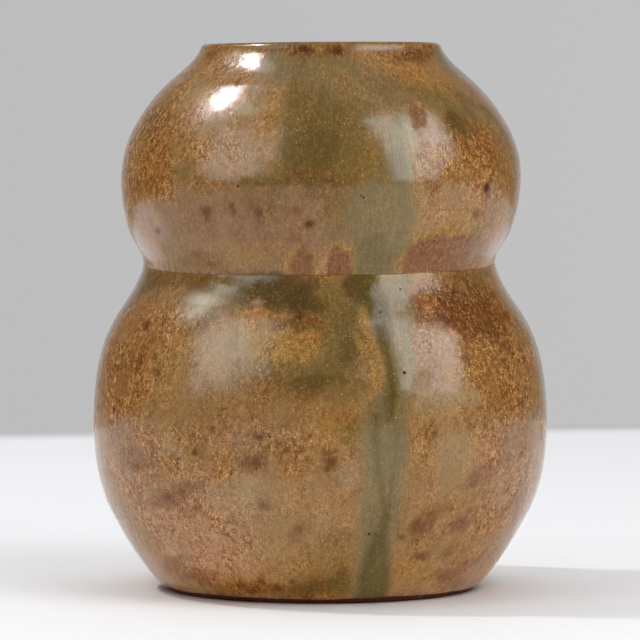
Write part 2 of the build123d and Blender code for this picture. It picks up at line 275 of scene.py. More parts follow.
# patches of the front, where they show in the 640 px view: kind, x, y, half width, half height, lean in degrees, strength, edge
FRONT = [
    # upper half
    ("tan", 320, 130, 230, 100, 0, 1.0, 0.5),
    ("mottle", 170, 112, 50, 76, 26, 0.9, 0.6),
    ("rust", 160, 122, 26, 34, 26, 0.75, 0.8),
    ("rust", 148, 166, 24, 26, 0, 0.85, 0.7),
    ("mottle", 210, 72, 40, 22, 30, 0.8, 0.7),
    ("gold", 196, 92, 26, 18, 34, 0.5, 0.9),
    ("pale", 192, 94, 18, 16, 30, 0.55, 0.9),
    ("pale", 206, 126, 16, 12, 0, 0.45, 0.8),
    ("mottle", 200, 146, 18, 16, 0, 0.6, 0.8),
    ("olive", 182, 172, 20, 10, 0, 0.5, 0.8),
    ("gold", 268, 104, 18, 26, 0, 0.7, 0.8),
    ("pink", 262, 92, 10, 20, 0, 0.45, 0.9),
    # painted highlight: the five pale and celadon patches below are the soft glow round the key light's two reflections
    ("pale", 250, 108, 22, 10, 0, 0.75, 0.8),
    ("celadon", 243, 109, 14, 8, 0, 0.60, 0.8),
    ("pale", 262, 74, 11, 7, 0, 0.60, 0.8),
    ("pale", 226, 73, 11, 6, 0, 0.50, 0.8),
    ("pale", 226, 127, 12, 12, 0, 0.60, 0.8),
    ("olive", 326, 116, 52, 84, 0, 1.0, 0.45),
    ("olive", 296, 150, 26, 40, 0, 0.9, 0.5),
    ("green", 330, 74, 60, 20, 0, 0.55, 0.8),
    ("green", 362, 90, 50, 16, 0, 0.60, 0.8),
    ("green_dark", 390, 90, 28, 14, 0, 0.30, 0.8),
    ("mottle", 350, 84, 50, 20, 0, 0.30, 0.9),
    ("green", 278, 64, 22, 14, 0, 0.6, 0.8),
    ("olive_dark", 318, 140, 26, 40, 0, 0.50, 0.9),
    ("olive_dark", 288, 156, 10, 26, 0, 0.45, 0.9),
    ("brown", 318, 178, 44, 9, 0, 0.65, 0.8),
    ("brown", 248, 181, 50, 6, 0, 0.60, 0.8),
    ("olive_dark", 268, 181, 26, 9, 0, 0.55, 0.8),
    ("olive", 366, 156, 32, 40, 0, 0.85, 0.6),
    ("amber", 372, 150, 8, 18, 0, 0.30, 0.9),
    ("olive", 268, 172, 20, 14, 0, 0.8, 0.7),
    ("gold", 424, 78, 34, 15, -26, 0.90, 0.7),
    ("green", 446, 62, 24, 8, -38, 0.6, 0.8),
    ("amber", 410, 70, 20, 12, 10, 0.6, 0.8),
    ("olive", 450, 106, 52, 16, -32, 0.90, 0.6),
    ("olive", 452, 128, 14, 18, 0, 0.75, 0.8),
    ("green_dark", 480, 108, 26, 8, -38, 0.45, 0.8),
    ("olive_dark", 459, 127, 16, 16, -30, 1.0, 0.8),
    ("olive", 508, 150, 8, 40, 0, 0.6, 0.8),
    # partly the pale middle of the green run, partly painted reflection: the right lamp's soft highlight on the run,
    # painted in pale green and celadon
    ("green_pale", 402, 150, 15, 38, -8, 1.0, 0.5),
    ("celadon", 406, 154, 12, 32, -6, 1.0, 0.5),
    ("green_pale", 376, 119, 20, 5, 0, 0.6, 0.8),
    ("maroon", 418, 114, 8, 13, 0, 0.9, 0.6),
    ("lilac", 432, 134, 16, 20, -10, 0.55, 0.8),
    ("mottle", 436, 160, 20, 24, 0, 0.7, 0.7),
    ("maroon", 440, 164, 6, 10, 0, 0.5, 0.9),
    ("mottle", 482, 160, 36, 44, -10, 1.0, 0.5),
    ("rust", 480, 146, 30, 26, -20, 0.85, 0.7),
    ("rust_dark", 484, 150, 20, 9, -30, 0.40, 0.9),
    ("olive_dark", 457, 126, 13, 12, -30, 0.85, 0.8),
    ("mottle", 436, 184, 16, 10, 0, 0.7, 0.8),
    ("maroon", 435, 183, 11, 10, 0, 0.55, 0.9),
    ("rust_dark", 201, 176, 11, 7, 0, 0.55, 0.9),
    ("rust", 204, 184, 16, 8, 0, 0.55, 0.8),
    # lower part of the upper half, down to the crease
    ("pink", 236, 228, 116, 42, 0, 0.95, 0.3),
    ("olive", 230, 192, 60, 5, 0, 0.35, 0.9),
    ("rust", 150, 190, 24, 12, 0, 0.6, 0.8),
    ("lilac", 144, 220, 20, 22, 0, 0.60, 0.7),
    ("lilac", 140, 246, 14, 22, 0, 0.75, 0.7),
    ("maroon", 204, 212, 8, 8, 0, 0.6, 0.8),
    ("maroon", 254, 202, 14, 16, -50, 0.65, 0.8),
    ("maroon", 232, 208, 7, 9, 0, 0.5, 0.9),
    ("olive", 274, 212, 18, 26, 0, 0.5, 0.8),
    ("pink", 310, 210, 42, 26, 0, 0.5, 0.8),
    ("maroon", 314, 194, 16, 6, 0, 0.5, 0.9),
    ("maroon", 294, 216, 7, 12, 0, 0.45, 0.9),
    ("maroon", 297, 236, 13, 11, 0, 0.60, 0.9),
    # painted shade: the two brown strips below lie along the crease, darkened for the shade in it
    ("brown", 244, 270, 30, 5, 0, 0.55, 0.9),
    ("brown", 314, 271, 12, 8, 0, 0.70, 0.8),
    ("green_dark", 368, 262, 16, 14, 0, 0.40, 0.9),
    ("olive", 338, 216, 22, 30, 0, 0.7, 0.8),
    ("gold", 238, 250, 44, 14, 0, 0.40, 0.8),
    ("maroon", 202, 260, 22, 12, 10, 0.55, 0.7),
    ("gold", 302, 260, 18, 16, 0, 0.5, 0.5),
    ("gold", 339, 260, 18, 16, 0, 0.5, 0.5),
    ("rose", 470, 206, 44, 26, 0, 0.95, 0.5),
    ("tan_smooth", 456, 200, 26, 14, 0, 0.6, 0.8),
    ("gold", 466, 218, 30, 14, 0, 0.45, 0.8),
    ("pink", 492, 214, 16, 18, 0, 0.5, 0.8),
    ("gold", 450, 252, 52, 23, -4, 0.8, 0.25),
    ("maroon", 455, 255, 50, 20, -4, 1.0, 0.35),
    ("maroon", 428, 253, 22, 12, 0, 0.6, 0.6),
    ("pink", 480, 248, 26, 16, 0, 0.6, 0.8),
    ("lilac", 500, 244, 12, 20, 0, 0.75, 0.7),
    ("rust", 506, 186, 12, 22, 0, 0.6, 0.8),
    # just below the crease
    ("tan", 320, 330, 240, 70, 0, 1.0, 0.3),
    ("brown", 176, 280, 56, 11, 0, 0.85, 0.6),
    ("brown", 216, 280, 28, 7, 0, 0.75, 0.8),
    ("olive_dark", 272, 279, 40, 7, 0, 0.80, 0.7),
    # painted shade: the dark olive and brown strips below run just under the crease, darkened for its shade
    ("olive_dark", 262, 275, 44, 4, 0, 0.85, 0.8),
    ("brown", 318, 277, 34, 5, 0, 0.90, 0.8),
    ("olive", 214, 300, 60, 22, 16, 0.9, 0.6),
    # painted reflection: this pale green patch and the celadon one after it are the key light's soft glow on the lower
    # shoulder
    ("green_pale", 196, 306, 24, 14, 42, 1.0, 0.6),
    ("celadon", 208, 305, 16, 9, 30, 0.40, 0.8),
    ("olive", 186, 311, 14, 12, 42, 0.85, 0.8),
    ("olive", 188, 326, 18, 9, 30, 0.60, 0.8),
    ("olive_dark", 214, 288, 26, 6, 0, 0.45, 0.9),
    # painted reflection: more of the key light's soft glow on the lower shoulder
    ("green_pale", 220, 295, 24, 7, 22, 0.60, 0.8),
    ("green", 250, 283, 26, 7, 0, 0.9, 0.6),
    ("olive", 186, 330, 26, 12, 30, 0.75, 0.7),
    ("mottle", 322, 279, 26, 9, 0, 0.9, 0.6),
    ("olive_dark", 284, 298, 46, 23, 0, 1.0, 0.6),
    ("olive_dark", 258, 300, 34, 14, 0, 0.9, 0.8),
    ("green_dark", 296, 298, 40, 14, 0, 0.5, 0.9),
    ("olive_dark", 224, 311, 30, 7, 34, 0.40, 0.9),
    ("olive_dark", 262, 286, 10, 8, 0, 0.6, 0.9),
    ("gold", 330, 290, 18, 14, 0, 0.55, 0.8),
    ("olive_dark", 314, 289, 14, 10, 0, 0.65, 0.9),
    ("olive", 336, 312, 30, 34, 0, 0.95, 0.5),
    ("olive_dark", 362, 290, 13, 20, 0, 0.95, 0.5),
    ("brown", 470, 280, 40, 9, 0, 0.6, 0.7),
    # the golden dome and the dark arch round it
    ("gold", 280, 338, 52, 28, 0, 0.95, 0.5),
    ("amber", 258, 316, 26, 9, 0, 0.7, 0.7),
    ("olive_dark", 298, 307, 34, 12, -6, 0.95, 0.7),
    ("olive_dark", 276, 300, 22, 10, 0, 0.7, 0.8),
    ("amber", 306, 332, 26, 12, 0, 0.6, 0.8),
    ("brown", 298, 324, 34, 10, 0, 1.0, 0.8),
    ("rust", 312, 321, 17, 4.5, 0, 0.95, 0.7),
    ("rust_dark", 298, 319, 7, 4, 0, 0.7, 0.8),
    ("lilac", 257, 303, 6, 5, 0, 0.7, 0.8),
    ("pale", 222, 352, 28, 32, 0, 0.85, 0.6),
    ("olive", 286, 370, 64, 14, 0, 0.85, 0.7),
    ("olive", 338, 344, 24, 52, 0, 0.95, 0.6),
    ("olive_dark", 350, 356, 14, 20, 0, 0.50, 0.8),
    ("olive", 298, 388, 72, 19, 0, 1.0, 0.5),
    ("olive", 266, 390, 32, 20, 0, 0.90, 0.6),
    ("olive_dark", 268, 388, 42, 14, 0, 0.85, 0.8),
    ("olive_dark", 268, 381, 26, 8, 0, 0.60, 0.9),
    ("olive_dark", 316, 386, 44, 11, 0, 0.80, 0.7),
    ("olive_dark", 318, 398, 46, 12, 0, 0.80, 0.9),
    ("olive_dark", 278, 397, 46, 10, 0, 0.70, 0.9),
    ("olive", 346, 402, 24, 22, -40, 0.8, 0.7),
    ("green_pale", 217, 391, 7, 5, 0, 0.45, 0.9),
    ("olive", 236, 400, 30, 8, 0, 0.5, 0.8),
    ("brown", 222, 416, 30, 2.2, 0, 0.6, 0.8),
    ("gold", 316, 414, 30, 12, -14, 0.85, 0.7),
    ("gold", 367, 330, 10, 26, -8, 0.95, 0.5),
    ("gold", 376, 374, 7, 36, -10, 0.75, 0.7),
    # left and right of them
    ("mottle", 132, 356, 46, 76, 0, 1.0, 0.5),
    ("rust", 118, 370, 30, 56, 0, 0.75, 0.6),
    ("rust", 150, 322, 24, 24, 0, 0.6, 0.8),
    ("brown", 140, 294, 30, 9, 40, 0.6, 0.8),
    ("gold", 182, 362, 20, 30, 0, 0.5, 0.8),
    ("mottle", 496, 352, 60, 76, 0, 1.0, 0.4),
    ("rust", 500, 350, 42, 66, 0, 0.65, 0.6),
    ("rust_dark", 462, 304, 38, 17, -16, 0.85, 0.7),
    ("rust_dark", 486, 324, 34, 20, -30, 0.75, 0.8),
    ("rust_dark", 476, 306, 40, 15, -20, 0.60, 0.8),
    ("rust_dark", 462, 324, 40, 14, -14, 1.0, 0.7),
    ("rust_dark", 496, 304, 16, 16, 0, 0.60, 0.9),
    ("rust_dark", 480, 290, 22, 8, -20, 0.60, 0.8),
    ("rust", 426, 304, 17, 14, 0, 0.95, 0.6),
    ("maroon", 420, 306, 12, 10, 0, 0.6, 0.8),
    ("lilac", 438, 340, 20, 24, 0, 0.45, 0.7),
    ("tan", 444, 372, 26, 30, 0, 0.75, 0.6),
    ("pink", 428, 392, 20, 26, 0, 0.75, 0.7),
    ("pale", 446, 352, 12, 16, 0, 0.5, 0.8),
    ("rust", 508, 400, 34, 20, 0, 0.7, 0.7),
    ("pale", 440, 412, 36, 22, 0, 1.0, 0.6),
    ("pale", 470, 400, 20, 14, 0, 0.90, 0.7),
    ("celadon", 436, 411, 26, 15, 0, 0.80, 0.9),
    ("celadon", 464, 398, 14, 10, 0, 0.60, 0.9),
    # belly below its middle
    ("tan", 320, 500, 260, 110, 0, 0.9, 0.3),
    ("rose", 128, 446, 40, 36, 0, 0.85, 0.6),
    ("mottle", 190, 462, 52, 36, 0, 0.75, 0.6),
    ("pink", 118, 440, 16, 24, 0, 0.7, 0.7),
    ("rose", 106, 496, 14, 60, -8, 0.70, 0.9),
    ("rose", 532, 496, 14, 60, 8, 0.70, 0.9),
    ("maroon", 136, 462, 20, 13, 0, 0.6, 0.7),
    ("pale", 171, 451, 15, 13, 0, 0.70, 0.8),
    ("rose", 190, 520, 70, 52, 16, 0.9, 0.5),
    ("rose", 140, 500, 30, 40, -20, 0.7, 0.6),
    ("maroon", 166, 498, 32, 12, 14, 0.65, 0.7),
    ("maroon", 190, 512, 18, 10, 20, 0.45, 0.8),
    ("maroon", 252, 466, 14, 10, 0, 0.75, 0.7),
    ("pale", 244, 496, 40, 22, 0, 0.65, 0.7),
    ("green_pale", 240, 490, 20, 10, 0, 0.25, 0.9),
    ("rose", 250, 440, 66, 22, 0, 0.6, 0.7),
    ("mottle", 300, 456, 44, 22, 0, 0.6, 0.7),
    ("amber", 334, 430, 18, 18, 0, 0.45, 0.8),
    ("olive", 352, 434, 14, 16, 0, 0.75, 0.8),
    ("brown", 328, 462, 10, 16, 20, 0.7, 0.8),
    ("rust", 340, 460, 9, 5, 0, 0.5, 0.9),
    ("pale", 350, 472, 12, 18, 0, 0.5, 0.8),
    ("maroon", 262, 508, 10, 8, 0, 0.55, 0.9),
    ("tan_smooth", 300, 520, 56, 40, 0, 0.5, 0.8),
    ("maroon", 298, 534, 9, 18, -36, 0.50, 0.8),
    ("pale", 250, 548, 40, 12, -10, 0.45, 0.8),
    ("olive", 326, 562, 40, 16, 0, 0.40, 0.9),
    ("brown", 336, 542, 20, 14, 0, 0.45, 0.9),
    ("rose", 220, 560, 54, 20, 16, 0.85, 0.6),
    ("pale", 170, 552, 14, 8, 26, 0.50, 0.8),
    ("maroon", 172, 566, 22, 8, 26, 0.75, 0.6),
    ("maroon", 190, 576, 24, 7, 14, 0.7, 0.7),
    ("lilac", 152, 572, 16, 20, 35, 0.60, 0.9),
    ("pink", 474, 574, 20, 16, -35, 0.65, 0.8),
    ("maroon", 452, 584, 22, 8, -14, 0.55, 0.8),
    ("rust_dark", 206, 578, 20, 8, 12, 0.60, 0.8),
    ("rust", 244, 588, 34, 9, 6, 0.85, 0.6),
    ("rust_dark", 262, 588, 26, 5, 4, 0.55, 0.8),
    ("brown", 300, 592, 44, 7, 0, 0.65, 0.8),
    ("brown", 322, 578, 34, 12, 0, 0.45, 0.9),
    ("olive", 346, 590, 20, 12, 0, 0.55, 0.8),
    ("olive_dark", 316, 586, 32, 12, 0, 0.60, 0.9),
    ("green_dark", 342, 584, 14, 16, 0, 0.55, 0.9),
    ("maroon", 432, 435, 18, 12, -10, 0.80, 0.6),
    ("gold", 424, 458, 12, 30, 0, 0.55, 0.8),
    ("tan_smooth", 452, 460, 24, 40, 0, 0.9, 0.6),
    ("green_pale", 458, 448, 12, 16, 0, 0.30, 0.9),
    ("rose", 506, 456, 38, 36, 10, 0.85, 0.6),
    ("pink", 520, 444, 22, 24, 0, 0.6, 0.7),
    ("maroon", 484, 474, 24, 10, 20, 0.55, 0.7),
    ("rose", 500, 510, 32, 34, 30, 0.75, 0.6),
    ("maroon", 508, 508, 22, 12, 30, 0.50, 0.8),
    ("maroon", 424, 524, 13, 20, -32, 0.85, 0.6),
    ("maroon", 448, 508, 20, 6, 10, 0.45, 0.8),
    ("rose", 460, 523, 14, 10, 0, 0.75, 0.8),
    ("maroon", 459, 524, 14, 10, 0, 0.90, 0.8),
    ("maroon", 400, 538, 7, 5, 0, 0.6, 0.8),
    ("maroon", 420, 556, 12, 6, 0, 0.7, 0.8),
    ("maroon", 450, 552, 9, 8, 30, 0.65, 0.8),
    ("maroon", 440, 574, 12, 6, 0, 0.75, 0.8),
    ("maroon", 466, 566, 24, 10, 36, 0.65, 0.7),
    ("gold", 412, 572, 26, 14, 0, 0.55, 0.8),
    ("mottle", 486, 530, 26, 30, 40, 0.6, 0.7),
    # the lip
    ("brown", 320, 47, 130, 5, 0, 0.55, 0.8),
    ("rust", 211, 53, 10, 7, 20, 0.85, 0.8),
    ("gold", 232, 48, 20, 6, 0, 0.6, 0.8),
    ("rust_dark", 297, 48, 17, 6, 0, 0.95, 0.7),
    ("rust_dark", 337, 49, 10, 8, 0, 1.0, 0.7),
    ("rust_dark", 314, 52, 26, 5, 0, 0.45, 0.9),
    ("gold", 318, 46, 8, 5, 0, 0.8, 0.8),
    ("pink", 376, 48, 30, 4.5, 0, 0.95, 0.6),
    ("lilac", 372, 48, 22, 3, 0, 0.6, 0.7),
    ("rust", 416, 52, 24, 9, 10, 0.9, 0.7),
    ("rust_dark", 414, 55, 26, 8, 8, 0.75, 0.7),
    ("rust", 431, 47, 9, 5, 0, 0.7, 0.8),
    ("olive", 452, 50, 8, 6, 0, 0.6, 0.8),
]

# duller parts of the front, where crystals break the gloss: x, y, half width, half height, lean in degrees, strength
DULL = [
    (436, 310, 34, 15, 0, 0.97), (458, 323, 30, 13, -12, 0.95), (262, 179, 26, 8, 0, 0.8), (456, 122, 16, 14, 0, 0.97), (474, 350, 6, 30, 0, 0.5), (363, 298, 12, 26, 0, 0.95), (272, 297, 36, 14, 0, 0.95), (240, 306, 26, 7, 30, 0.4), (264, 307, 16, 9, 0, 0.9),
    (414, 114, 8, 15, 0, 0.97), (238, 185, 38, 5, 0, 0.95), (216, 282, 28, 5, 0, 0.95), (400, 399, 12, 4, 0, 0.5), (448, 110, 20, 14, 24, 0.97), (463, 136, 9, 30, 0, 0.9), (452, 176, 14, 12, 0, 0.9), (372, 156, 8, 14, -30, 0.6),
    (470, 310, 30, 12, -20, 0.6), (480, 402, 10, 12, 0, 0.4), (272, 168, 14, 14, 0, 0.7), (206, 132, 10, 12, -30, 0.6),
    (270, 389, 28, 14, 0, 0.90), (444, 325, 24, 9, -8, 0.9), (496, 308, 18, 18, 0, 0.9), (423, 381, 9, 11, 0, 0.6), (441, 124, 8, 9, 0, 0.6), (264, 131, 14, 12, 0, 0.6), (247, 90, 4, 6, 0, 0.8), (210, 310, 12, 10, 40, 0.4), (380, 352, 8, 30, -14, 0.6),
]

# small iron spots of the front: x, y, half width, half height, depth
IRON = [
    (205, 211, 6, 5, 0.45), (231, 206, 3, 5, 0.6), (233, 212, 3, 4, 0.5), (259, 213, 5, 7, 0.45), (309, 224, 6.5, 6.0, 0.8),
    (157, 231, 4, 4, 0.55), (258, 149, 3, 3, 0.5), (296, 210, 4, 5, 0.4), (487, 187, 4, 7, 0.95), (487, 189, 7, 11, 0.35),
    (477, 213, 5, 6, 0.5), (128.6, 181, 2, 8, 0.5), (131.5, 192, 2, 5, 0.45), (197, 254, 4, 4, 0.35), (212, 264, 5, 3, 0.35),
    (310, 257, 5, 4, 0.3), (208, 52, 5, 4, 0.5), (304, 47, 7, 4, 0.6), (337, 50, 5, 4, 0.8), (430, 44, 3, 2, 0.4),
    (146, 326, 4, 5, 0.75), (139, 361, 4, 9, 0.6), (154, 359, 3, 3, 0.6), (158, 375, 3, 3, 0.55), (113, 410, 1.5, 4.5, 1.0),
    (195, 366, 2, 2.5, 0.7), (157, 371, 4, 6, 0.4), (300, 318, 5, 3, 0.6), (312, 320, 7, 3, 0.5),
    (434, 434.4, 3.5, 3.2, 0.55), (338, 421, 3, 3, 0.5), (331, 462, 6, 5, 0.6), (327, 470, 4, 4, 0.6), (335, 452, 4, 3, 0.5),
    (211, 431, 4, 4, 0.6), (192, 436, 4, 4, 0.5), (259, 438, 4.5, 3.5, 0.8), (257, 438, 8, 6, 0.3), (194, 454, 4, 3.5, 0.8),
    (197, 448, 8, 7, 0.25), (285, 452, 4, 3, 0.65), (301, 452, 4, 3, 0.6), (294.5, 464, 3, 3.5, 0.55), (302, 438, 3, 3, 0.5),
    (310, 438, 3, 2.5, 0.5), (229, 454, 3, 3, 0.45), (522, 454, 3, 3, 0.7), (172, 455, 4, 4, 0.4), (136, 466, 3, 4, 0.45),
    (252, 462, 9, 7, 0.35), (166, 498, 6, 5, 0.4), (188, 485, 5, 4, 0.4), (200, 511, 3, 3, 0.4), (263, 508, 7, 5, 0.35),
    (298, 530, 5, 5, 0.35), (306, 546, 5, 5, 0.3), (240, 585, 6, 4, 0.5), (262, 582, 5, 4, 0.5), (278, 589, 5, 4, 0.55),
    (250, 592, 6, 4, 0.45), (292, 582, 4, 3, 0.6), (317, 585, 8, 2, 0.4), (230, 568, 3, 3, 0.45), (222, 536, 3, 3, 0.3),
    (470, 511, 3, 4, 0.5), (472, 485, 6, 3, 0.3), (424, 558, 5, 4, 0.35), (433, 538, 3, 2, 0.4), (401, 537, 4, 4, 0.35),
    (416, 524, 6, 9, 0.3), (443, 577, 6, 3, 0.4), (497, 432, 4, 4, 0.3), (470, 428, 4, 5, 0.3), (505, 492, 4, 5, 0.3),
    (436, 296, 4, 3, 0.5), (446, 319, 5, 4, 0.5), (488, 305, 5, 4, 0.5), (460, 293, 4, 3, 0.4), (534, 417, 3, 5, 0.5),
    (508, 388, 4, 4, 0.3), (476, 132, 5, 4, 0.4), (466, 146, 4, 4, 0.35), (175, 112, 3, 3, 0.35), (160, 128, 3, 3, 0.35),
    (218, 92, 3, 3, 0.4), (199, 123, 4, 3, 0.5), (256, 104, 4, 3, 0.35), (150, 178, 3, 3, 0.4), (237, 60, 3, 2, 0.3),
]

# pinholes of the front: x, y, radius in mm
PITS = [
    (236.7, 185.8, 0.42), (360.6, 195.5, 0.26), (363.2, 197.2, 0.34), (376, 259, 0.24), (184, 266, 0.22), (401.5, 290, 0.32),
    (404.5, 373.5, 0.48), (474.5, 427.5, 0.36), (332, 340.6, 0.24), (348, 324, 0.22), (381, 313, 0.22), (207, 410, 0.24),
    (220.7, 442.3, 0.26), (369, 534.5, 0.42), (240, 435, 0.18), (336.5, 374, 0.18), (428, 342, 0.20),
]

# green runs of the glaze, down the front: kind; strength; edge softness in mm; x, y, half width in pixels
RUNS_FRONT = [
    ("green", 0.96, 6.5, [(398, 110, 6), (398, 140, 10), (396, 170, 18), (386, 190, 32), (382, 210, 38), (381, 230, 37), (382, 250, 33), (379, 265, 29), (380, 274, 29)]),
    ("green", 0.95, 4.2, [(394, 276, 22), (396, 300, 20), (398, 325, 18), (402, 350, 14), (403, 372, 14), (396, 392, 17), (388, 406, 22), (385, 425, 23), (385, 450, 24), (385, 480, 23), (383, 505, 22), (380, 525, 21), (376, 545, 19), (374, 562, 18), (371, 580, 19), (368, 594, 20), (368, 606, 20)]),
    ("green_pale", 0.55, 2.0, [(396, 277, 14), (398, 300, 11), (402, 325, 9), (407, 350, 7), (409, 375, 5), (408, 390, 4)]),
    ("green_dark", 0.88, 2.2, [(367, 276, 12), (373, 296, 13), (380, 315, 11), (385, 340, 7), (388, 360, 5), (392, 380, 6), (393, 395, 6), (392, 410, 5), (389, 422, 3)]),
    ("green_dark", 0.80, 3.0, [(375, 415, 3), (375, 440, 3), (378, 470, 2), (384, 500, 3), (385, 520, 6), (380, 540, 8), (376, 558, 12), (374, 578, 16), (372, 592, 17), (370, 606, 18)]),
    ("gold", 0.60, 2.4, [(302, 243, 3), (301, 247, 8), (300, 253, 13), (300, 262, 14), (300, 275, 14)]),
    ("green_dark", 0.38, 5.0, [(378, 234, 8), (376, 246, 16), (374, 258, 20), (375, 268, 20), (376, 273, 20)]),
    ("maroon", 0.92, 1.8, [(304, 245, 3), (303, 250, 8), (303, 260, 12), (303, 268, 13), (303, 276, 13)]),
    ("gold", 0.62, 1.8, [(340, 243, 4), (341, 248, 10), (342, 254, 14), (342, 262, 15), (343, 275, 16)]),
    ("maroon", 0.95, 1.8, [(337, 247, 3), (338, 252, 9), (338, 260, 12), (338, 268, 13), (338, 276, 13)]),
    ("gold", 0.50, 2.0, [(455, 238, 12), (444, 245, 27), (439, 253, 34), (437, 262, 35), (436, 272, 36)]),
    ("maroon", 0.92, 2.2, [(458, 237, 14), (447, 243, 28), (443, 252, 33), (440, 262, 34), (440, 272, 35)]),
    ("green_dark", 0.40, 1.0, [(397, 420, 2.0), (396, 445, 2.5), (393, 475, 2), (390, 500, 2), (388, 520, 1.5)]),
]


# ------------------------------------------------------------------ the pattern on the pot
def spread(seed, n, low, high, apart):
    """n seeded places (azimuth, arc length) on the sides and back, at least `apart` mm from one another."""
    rng = np.random.RandomState(seed)
    got = []
    for _ in range(6000):
        if len(got) == n:
            break
        phi, s = rng.uniform(math.radians(84), math.radians(276)), rng.uniform(low, high)
        if all(math.hypot((phi - a) * R_FLOW, s - b) > apart for a, b in got):
            got.append((phi, s))
    return got


def mirrors_table(phi, s):
    """Whether the gloss at this place shows the camera the table, 0..1."""
    r0, r1 = np.interp([s - 0.6, s + 0.6], OUTER_S, OUTER[:, 0])
    z0, z1 = np.interp([s - 0.6, s + 0.6], OUTER_S, OUTER[:, 1])
    length = math.hypot(r1 - r0, z1 - z0)
    n = np.array([(z1 - z0) / length * math.sin(phi), -(z1 - z0) / length * math.cos(phi), (r0 - r1) / length])
    p = np.array([r0 * math.sin(phi), -r0 * math.cos(phi), z0])
    v = CAM - p
    v /= np.linalg.norm(v)
    up = (2 * np.dot(v, n) * n - v)[2]
    return float(smooth(np.array([-up]), -0.03, 0.03)[0])


def colour_at(kind, phi, s):
    """A kind's colour without its gloss, where it lies."""
    return KINDS[kind][0] - (VEIL_ROOM + (VEIL_TABLE - VEIL_ROOM) * mirrors_table(phi, s))


def patches_all():
    """Every patch as (kind, colour without its gloss, azimuth, arc length, half width mm, half height mm, lean, strength, edge)."""
    out = []
    for kind, x, y, w, h, lean, strength, edge in FRONT:
        phi, s, across, up = place(x, y)
        out.append((kind, colour_at(kind, phi, s), phi, s, w * across, h * up, lean, strength, edge))
    top = float(OUTER_S[-1])
    rng = np.random.RandomState(41)
    plan = [
        ("olive", 10, 12, 20, 0.85), ("rust", 12, 9, 15, 0.9), ("mottle", 14, 12, 18, 0.85), ("gold", 10, 7, 12, 0.8),
        ("pink", 8, 8, 11, 0.7), ("pale", 6, 8, 11, 0.7), ("olive_dark", 5, 8, 12, 0.7), ("tan_smooth", 6, 6, 9, 0.8),
        ("rust_dark", 8, 3.5, 6, 0.6), ("maroon", 20, 3, 5, 0.65), ("amber", 8, 5, 9, 0.6),
    ]
    for k, (kind, n, low, high, strength) in enumerate(plan):
        for phi, s in spread(100 + k, n, 3.0, top - 2.0, 22.0):
            w = rng.uniform(low, high)
            shape = w * rng.uniform(0.7, 1.1), w * rng.uniform(0.8, 1.5), rng.uniform(-30, 30)
            out.append((kind, KINDS[kind][0] - VEIL, phi, s, *shape, strength * rng.uniform(0.7, 1.0), 0.8))
    # browner where the glaze runs thin over the lip, all the way round
    for k in range(26):
        phi = math.radians(84) + k * math.radians(192) / 26 + rng.uniform(-0.05, 0.05)
        kind = ("rust", "rust_dark", "gold", "pink", "mottle")[rng.randint(5)]
        out.append((kind, KINDS[kind][0] - VEIL, phi, top - rng.uniform(0.2, 2.6), rng.uniform(3, 7), rng.uniform(1.4, 2.6), 0, 0.8, 0.9))
    return out


def irons_all():
    out = []
    for x, y, w, h, depth in IRON:
        phi, s, across, up = place(x, y)
        out.append((phi, s, w * across, h * up, depth))
    rng = np.random.RandomState(77)
    for phi, s in spread(7, 120, 3.0, float(OUTER_S[-1]) - 2, 5.0):
        w = 0.6 + 1.5 * rng.rand() ** 2
        out.append((phi, s, w, w * rng.uniform(0.8, 1.9), rng.uniform(0.3, 0.85)))
    return out


def pits_all():
    out = []
    for x, y, r in PITS:
        phi, s, _, _ = place(x, y)
        out.append((phi, s, r))
    rng = np.random.RandomState(12)
    for phi, s in spread(15, 20, 5.0, float(OUTER_S[-1]) - 4, 14.0):
        out.append((phi, s, rng.uniform(0.2, 0.42)))
    return out


